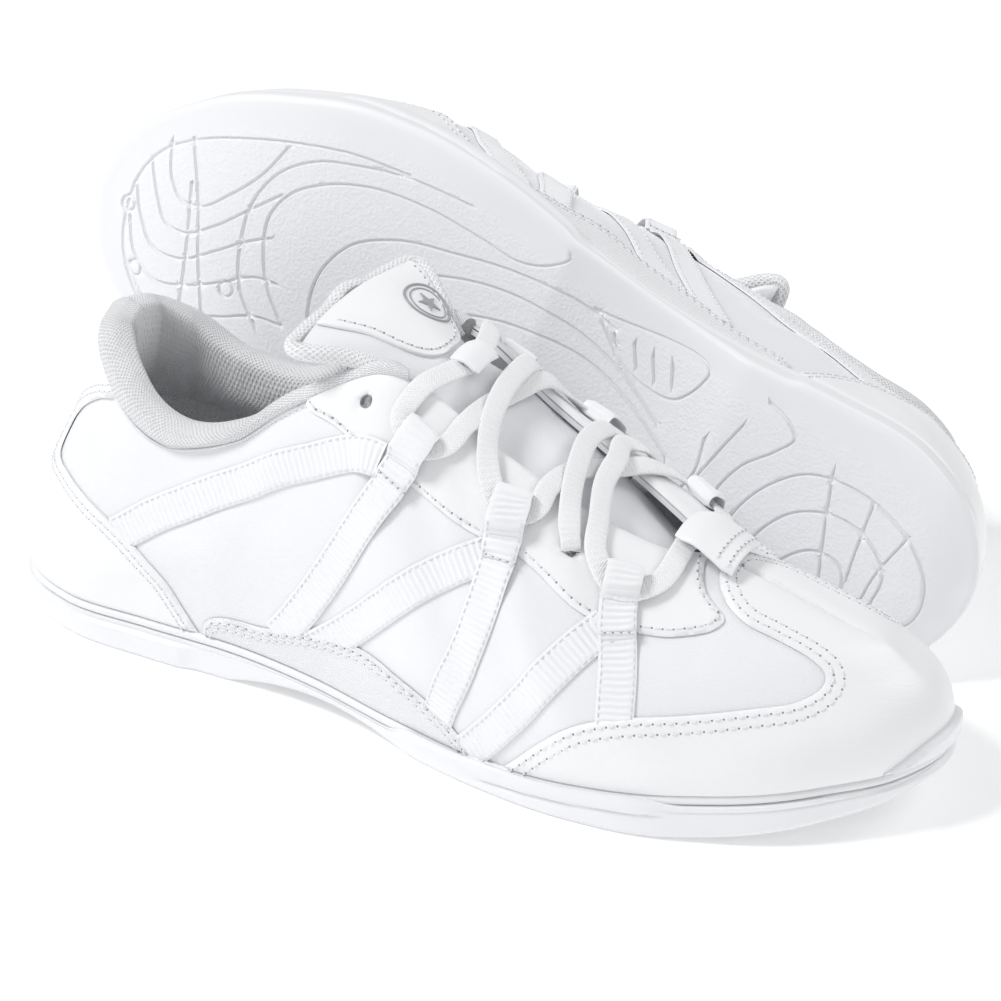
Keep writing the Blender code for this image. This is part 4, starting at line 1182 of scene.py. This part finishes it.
def make_lace():
    line, up = lace_line()
    tangent, across, up = frames(line, up)
    bend = np.linalg.norm(np.gradient(tangent, axis=0), axis=1) / LACE_STEP
    bend = running_mean(bend, 17)
    half = LACE_HALF_WIDTH / (1 + 2.7 * bend ** 2)
    thick = LACE_HALF_THICKNESS * (1 + .55 * (1 - half / LACE_HALF_WIDTH))
    turn = np.linspace(0, 2 * math.pi, 28, endpoint=False)
    x = np.sign(np.cos(turn)) * np.abs(np.cos(turn)) ** .75
    y = np.sign(np.sin(turn)) * np.abs(np.sin(turn)) ** .6
    along = np.arange(len(line)) * LACE_STEP
    weave = .5 + .5 * np.cos(2 * math.pi * (along[:, None] / 1.6 + np.abs(x[None, :]) * .12))
    swell = 1 + .34 * (weave - .5) * (np.abs(y[None, :]) > .4)
    rings = (line[:, None] + across[:, None] * (x[None, :, None] * half[:, None, None])
             + up[:, None] * (y[None, :, None] * (thick[:, None] * swell)[..., None]))
    points, faces = tube(rings)
    flat = grid(along, x * LACE_HALF_WIDTH)
    Piece("lace", points, faces, "lace", "lace", tube_plan(flat), replaces=("lace",))


def bridge(name, rows, thickness, paint, slot):
    """Small curved sheet over the lace through rows of (x, half width, z, drop at the sides)."""
    rows = np.asarray(rows, float)
    u = np.linspace(0, 1, 40)
    fine = spline(np.linspace(0, 1, len(rows)), rows, u)
    a = np.linspace(-1, 1, 31)
    U, A = np.meshgrid(u, a, indexing="ij")
    x, half, z, drop = (fine[:, k][:, None] for k in range(4))
    corner = 1 - .12 * smooth((np.abs(2 * U - 1) - .7) / .3)
    mid = np.stack([x + 0 * A, A * half * corner, z - drop * A * A], -1)
    edge = np.sqrt(np.clip(1 - np.maximum(np.abs(A), np.abs(2 * U - 1)) ** 10, 0, 1))
    rise = thickness / 2 * (.3 + .7 * edge)
    slope = unit(np.gradient(mid, axis=0))
    aside = unit(np.gradient(mid, axis=1))
    normal = np.cross(slope, aside)
    normal = normal * np.sign(normal[..., 2:])
    top = mid + normal * (thickness / 2 + rise)[..., None]
    under = mid + normal * .05
    flat = np.stack([U * 15, A * 9], -1).reshape(-1, 2)
    Piece(name, *slab(top, under), paint, slot, twice(flat), replaces=(name,))
    return mid, normal


def make_lace_guides():
    bridge("tongue_lace_loop", ((125.5, 6, 96.6, .6), (129.5, 6, 96.9, .6), (133.5, 6, 94.3, .6)), 1.0,
           "webbing", "webbing")
    mid, normal = bridge("lace_keeper", ((190.5, 7.6, 64.6, 1.2), (196, 8.5, 64.6, 1.2), (201, 9, 62.5, 1.4),
                                         (207, 9.6, 59.4, 1.8)), 1.1, "leather", "leather")
    for inset in (2, 5):
        row = -1 - inset * 2
        line = mid[row] + normal[row] * 1.15
        SHOE_SEAM.run(line[3:-3], normal[row][3:-3], pitch=2.3)


# ---------------------------------------------------------------- padding
SWELL_FRAMES = 20
SWELL_PRESSURE = 4


def swollen(piece):
    """The piece's points after a short cloth simulation has blown its padding up."""
    mesh = bpy.data.meshes.new("pad")
    mesh.from_pydata((piece.points * MM).tolist(), [], piece.faces)
    pad = bpy.data.objects.new("pad", mesh)
    bpy.context.scene.collection.objects.link(pad)
    tidy_normals(mesh)
    cloth = pad.modifiers.new("cloth", "CLOTH")
    cloth.settings.use_pressure = True
    cloth.settings.uniform_pressure_force = SWELL_PRESSURE
    cloth.settings.effector_weights.gravity = 0
    cloth.point_cache.frame_start = 1
    cloth.point_cache.frame_end = SWELL_FRAMES
    for number in range(1, SWELL_FRAMES + 1):
        bpy.context.scene.frame_set(number)
    result = pad.evaluated_get(bpy.context.evaluated_depsgraph_get()).to_mesh()
    co = np.zeros(len(result.vertices) * 3)
    result.vertices.foreach_get("co", co)
    bpy.data.objects.remove(pad)
    bpy.context.scene.frame_set(1)
    move = co.reshape(-1, 3) / MM - piece.points
    size = np.linalg.norm(move, axis=1, keepdims=True)
    return piece.points + move * np.minimum(1, piece.swell / np.maximum(size, 1e-6))


# ---------------------------------------------------------------- materials
def add(tree, kind, sockets=(), **settings):
    """New node; sockets are values or links for its inputs, settings its own properties."""
    made = tree.nodes.new("ShaderNode" + kind)
    for key, value in settings.items():
        setattr(made, key, value)
    for key, value in dict(sockets).items():
        if isinstance(value, bpy.types.NodeSocket):
            tree.links.new(value, made.inputs[key])
        else:
            made.inputs[key].default_value = value
    return made


def maths(tree, operation, a, b=0.):
    return add(tree, "Math", {0: a, 1: b}, operation=operation).outputs[0]


def noise(tree, at, pitch, detail=2.):
    return add(tree, "TexNoise", {"Vector": at, "Scale": 1 / pitch, "Detail": detail}).outputs["Fac"]


def cells(tree, at, pitch, randomness=1., feature="F1"):
    return add(tree, "TexVoronoi", {"Vector": at, "Scale": 1 / pitch, "Randomness": randomness},
               feature=feature).outputs["Distance"]


def bands(tree, at, pitch, direction):
    return add(tree, "TexWave", {"Vector": at, "Scale": math.pi / 10 / pitch, "Distortion": 0.},
               bands_direction=direction).outputs["Fac"]


def turned(tree, at, degrees):
    return add(tree, "Mapping", {"Vector": at, "Rotation": (0, 0, math.radians(degrees))}).outputs[0]


def satin_cloth(tree, at):
    """Fine twill with long floats and a little slub."""
    twill = bands(tree, turned(tree, at, 32), .55, "X")
    threads = bands(tree, at, .8, "Y")
    slub = noise(tree, add(tree, "Mapping", {"Vector": at, "Scale": (.12, 1, 1)}).outputs[0], .9)
    weave = maths(tree, "ADD", maths(tree, "MULTIPLY", twill, .5), maths(tree, "MULTIPLY", threads, .3))
    return maths(tree, "ADD", weave, maths(tree, "MULTIPLY", slub, .5))


def leather_grain(tree, at):
    pebble = cells(tree, at, 1.5)
    fine = noise(tree, at, .8, 4.)
    return maths(tree, "ADD", maths(tree, "MULTIPLY", pebble, .6), maths(tree, "MULTIPLY", fine, .6))


def grosgrain(tree, at):
    """Threads that run over the ribs, which are in the mesh."""
    slub = noise(tree, add(tree, "Mapping", {"Vector": at, "Scale": (.3, 1, 1)}).outputs[0], .8)
    fuzz = noise(tree, at, .5)
    return maths(tree, "ADD", maths(tree, "MULTIPLY", slub, .8), maths(tree, "MULTIPLY", fuzz, .2))


def mesh_knit(tree, at):
    """Spacer knit: rows of small round openings."""
    eye = cells(tree, turned(tree, at, 45), 1.25, .12)
    yarn = bands(tree, at, .45, "X")
    return maths(tree, "ADD", eye_rim(tree, eye), maths(tree, "MULTIPLY", yarn, .25))


def eye_rim(tree, distance):
    return add(tree, "MapRange", {"Value": distance, "From Min": .16, "From Max": .42}).outputs[0]


def braided(tree, at):
    left = bands(tree, turned(tree, at, 38), .62, "X")
    right = bands(tree, turned(tree, at, -38), .62, "X")
    return maths(tree, "MAXIMUM", left, right)


def fine_weave(tree, at):
    return maths(tree, "MULTIPLY", bands(tree, at, .75, "X"), bands(tree, at, .75, "Y"))


def rubber_skin(tree, at):
    """Smooth moulded skin, pebbled where the mask says."""
    mask = add(tree, "Attribute", attribute_name="field").outputs["Fac"]
    pebble = maths(tree, "MULTIPLY", cells(tree, at, .85), mask)
    return maths(tree, "ADD", maths(tree, "MULTIPLY", pebble, 1.1),
                 maths(tree, "MULTIPLY", noise(tree, at, 1.6, 2.), .12))


def speckle(tree, at):
    return noise(tree, at, .9, 5.)


# Name: light colour, dark colour, roughness, sheen, coat, pattern, how tall it is in mm, share of dark
# painted into the pattern's low places as shade.
PAINTS = {
    "satin": ((.875, .882, .905), (.79, .80, .835), .34, .25, .10, satin_cloth, .06, .25),
    "leather": ((.905, .91, .92), (.85, .86, .875), .40, .0, .15, leather_grain, .06, .25),
    "saddle": ((.89, .895, .91), (.79, .80, .82), .60, .20, .0, fine_weave, .16, .4),
    "webbing": ((.90, .905, .92), (.80, .81, .83), .70, .30, .0, grosgrain, .05, .22),
    "knit": ((.955, .96, .97), (.74, .75, .785), .85, .35, .0, mesh_knit, .34, .40),
    "lining": ((.94, .945, .955), (.70, .71, .745), .9, .35, .0, mesh_knit, .26, .42),
    "lace": ((.955, .957, .963), (.86, .865, .88), .70, .30, .0, braided, .14, .3),
    "thread": ((.86, .865, .88), (.74, .75, .77), .6, .20, .0, speckle, .03, .4),
    # The hole paint is dark grey painted shade, for the needle holes and the lace holes.
    "hole": ((.36, .37, .39), (.24, .25, .27), .9, .0, .0, speckle, .02, .5),
    "rubber": ((.885, .89, .905), (.82, .83, .85), .44, .0, .06, rubber_skin, .13, .25),
    "foam": ((.88, .885, .895), (.80, .81, .82), .55, .0, .0, speckle, .05, .35),
    "board": ((.70, .68, .64), (.58, .56, .52), .9, .0, .0, speckle, .08, .5),
    "emblem": ((.40, .41, .44), (.30, .31, .34), .40, .0, .20, speckle, .03, .4),
}


def make_paint(name, mapped=True):
    """Procedural material in millimetres, from the mesh's flat pattern or from the object's own space."""
    light, dark, rough, sheen, coat, pattern, height, share = PAINTS[name]
    material = bpy.data.materials.new(name if mapped else f"{name}_solid")
    material.use_nodes = True
    tree = material.node_tree
    shader = tree.nodes["Principled BSDF"]
    if mapped:
        at = add(tree, "Attribute", attribute_name="flat").outputs["Vector"]
    else:
        spot = add(tree, "TexCoord").outputs["Object"]
        at = add(tree, "VectorMath", {0: spot, 1: (1000, 1000, 1000)}, operation="MULTIPLY").outputs[0]
    relief_height = pattern(tree, at)
    broad = noise(tree, at, 38, 3.)
    # Low places of the pattern are mixed towards the dark colour: painted shade in the pattern's hollows,
    # such as the knit's openings. The broad noise adds tone that differs at random.
    hollow_shade = maths(tree, "SUBTRACT", 1., relief_height)
    shade_and_tone = maths(tree, "ADD", maths(tree, "MULTIPLY", hollow_shade, share), maths(tree, "MULTIPLY", broad, .45))
    ramp = add(tree, "Mix", {0: shade_and_tone, 6: (*light, 1), 7: (*dark, 1)}, data_type="RGBA", clamp_factor=True)
    tree.links.new(ramp.outputs[2], shader.inputs["Base Color"])
    gloss = add(tree, "MapRange", {"Value": broad, "To Min": rough - .06, "To Max": rough + .08}).outputs[0]
    tree.links.new(gloss, shader.inputs["Roughness"])
    bump = add(tree, "Bump", {"Height": relief_height, "Distance": height * MM, "Strength": .9})
    tree.links.new(bump.outputs[0], shader.inputs["Normal"])
    shader.inputs["Sheen Weight"].default_value = sheen
    shader.inputs["Sheen Roughness"].default_value = .45
    shader.inputs["Coat Weight"].default_value = coat
    shader.inputs["Coat Roughness"].default_value = .25
    return material


PAINTED = {}


def paint(name, mapped=True):
    if (name, mapped) not in PAINTED:
        PAINTED[name, mapped] = make_paint(name, mapped)
    return PAINTED[name, mapped]


# ---------------------------------------------------------------- the two shoes
LEFT_TURN = np.array(Euler([math.radians(a) for a in LEFT_TURN_DEG]).to_matrix())


def to_row(points, side):
    """Right-shoe millimetres to row millimetres for that side's shoe."""
    points = np.asarray(points, float) - (BALL_X, 0, 0)
    if side == "right":
        return points
    pivot = np.array((LEFT_PIVOT_X - BALL_X, 0, 0))
    here = np.array(LEFT_PLACE) - (BALL_X, 0, 0)
    return (points * (1, -1, 1) - pivot) @ LEFT_TURN.T + here


def tidy_normals(mesh):
    """Merge points that meet and turn all faces outwards."""
    work = bmesh.new()
    work.from_mesh(mesh)
    bmesh.ops.remove_doubles(work, verts=work.verts, dist=2e-6)
    bmesh.ops.recalc_face_normals(work, faces=work.faces)
    work.to_mesh(mesh)
    work.free()


SHARP = math.radians(52)


def make_mesh(piece, side):
    mesh = bpy.data.meshes.new(f"visual_{side}_{piece.name}")
    mesh.from_pydata((to_row(piece.points, side) * MM).tolist(), [], piece.faces)
    flat = mesh.attributes.new("flat", "FLOAT_VECTOR", "POINT")
    flat.data.foreach_set("vector", np.pad(piece.flat, ((0, 0), (0, 1))).astype(np.float32).ravel())
    if piece.mask is not None:
        field = mesh.attributes.new("field", "FLOAT", "POINT")
        field.data.foreach_set("value", piece.mask.astype(np.float32))
    tidy_normals(mesh)
    mesh.shade_smooth()
    mesh.set_sharp_from_angle(angle=SHARP)
    mesh.materials.append(paint(piece.paint))
    return mesh


def place(piece, side):
    mesh = make_mesh(piece, side)
    made = bpy.data.objects.new(mesh.name, mesh)
    bpy.context.scene.collection.objects.link(made)
    if piece.body == "bend":
        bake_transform(made)
    else:
        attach(made, f"{side}_{piece.body}")
    if piece.replaces:
        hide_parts(*(f"{side}_{node}" for node in piece.replaces))


def make_pieces():
    make_outsole()
    make_midsole()
    make_liner()
    make_toe_bumper()
    make_skins()
    make_heel_overlay()
    make_toe_cap()
    make_eyestays()
    make_saddles()
    make_straps()
    make_collar()
    make_lining()
    make_counter()
    make_eyelets()
    make_tongue()
    make_patch()
    make_binding()
    make_emblem()
    make_lace()
    make_lace_guides()
    SHOE_SEAM.make("")
    TONGUE_SEAM.make("tongue_", body="bend")


make_pieces()
for piece in PIECES:
    if piece.swell:
        piece.points = swollen(piece)
for side_name in ("right", "left"):
    for piece in PIECES:
        place(piece, side_name)
    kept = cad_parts[f"{side_name}_insole_board"]
    kept.data.materials.clear()
    kept.data.materials.append(paint("board", mapped=False))


# ---------------------------------------------------------------- floor, light and camera
CAMERA_TURN, CAMERA_RISE, CAMERA_ROLL = (math.radians(a) for a in (27.1, 29.15, 1.29))
CAMERA_AIM = Vector((-.029, 0, .040))
CAMERA_DISTANCE = 1.100
CAMERA_LENS = 152.7
CAMERA_SHIFT = (.0255, .0493)
FLOOR_HALF = 4


def make_floor():
    mesh = bpy.data.meshes.new("floor")
    corners = [(x * FLOOR_HALF, y * FLOOR_HALF, 0) for x, y in ((-1, -1), (1, -1), (1, 1), (-1, 1))]
    mesh.from_pydata(corners, [], [(0, 1, 2, 3)])
    floor = bpy.data.objects.new("floor", mesh)
    bpy.context.scene.collection.objects.link(floor)
    material = bpy.data.materials.new("floor")
    material.use_nodes = True
    tree = material.node_tree
    shader = tree.nodes["Principled BSDF"]
    at = add(tree, "TexCoord").outputs["Object"]
    grain = add(tree, "TexNoise", {"Vector": at, "Scale": 900., "Detail": 3.}).outputs["Fac"]
    tone = add(tree, "Mix", {0: grain, 6: (.965, .965, .965, 1), 7: (.94, .94, .94, 1)}, data_type="RGBA")
    tree.links.new(tone.outputs[2], shader.inputs["Base Color"])
    shader.inputs["Roughness"].default_value = .8
    shader.inputs["Emission Color"].default_value = (1, 1, 1, 1)
    shader.inputs["Emission Strength"].default_value = .18
    mesh.materials.append(material)


def make_light(name, place_at, aim, size, watts):
    data = bpy.data.lights.new(name, "AREA")
    data.shape = "DISK"
    data.size = size
    data.energy = watts
    light = bpy.data.objects.new(name, data)
    light.location = place_at
    light.rotation_euler = (Vector(place_at) - Vector(aim)).to_track_quat("Z", "Y").to_euler()
    bpy.context.scene.collection.objects.link(light)


def make_camera():
    turn, rise, roll = CAMERA_TURN, CAMERA_RISE, CAMERA_ROLL
    back = Vector((math.sin(turn) * math.cos(rise), -math.cos(turn) * math.cos(rise), math.sin(rise)))
    right = Vector((math.cos(turn), math.sin(turn), 0))
    up = back.cross(right)
    tilted_right = right * math.cos(roll) + up * math.sin(roll)
    tilted_up = up * math.cos(roll) - right * math.sin(roll)
    data = bpy.data.cameras.new("camera")
    data.sensor_width = 36
    data.lens = CAMERA_LENS
    data.shift_x, data.shift_y = CAMERA_SHIFT
    camera = bpy.data.objects.new("camera", data)
    spot = Matrix((tilted_right, tilted_up, back)).transposed().to_4x4()
    spot.translation = CAMERA_AIM + back * CAMERA_DISTANCE
    camera.matrix_world = spot
    bpy.context.scene.collection.objects.link(camera)
    bpy.context.scene.camera = camera


def make_world():
    world = bpy.data.worlds.new("studio")
    world.use_nodes = True
    backdrop = world.node_tree.nodes["Background"]
    backdrop.inputs["Color"].default_value = (.98, .99, 1, 1)
    backdrop.inputs["Strength"].default_value = .5
    bpy.context.scene.world = world
    bpy.context.scene.view_settings.view_transform = "Standard"


make_floor()
make_world()
make_light("key", (-.9, -.7, 1.5), (0, 0, .05), .6, 18.5)
make_light("rim", (.9, .9, 1.1), (0, .05, .05), .8, 5)
make_light("fill", (1, -.8, .6), (0, 0, .05), 1.0, 1.6)
make_camera()
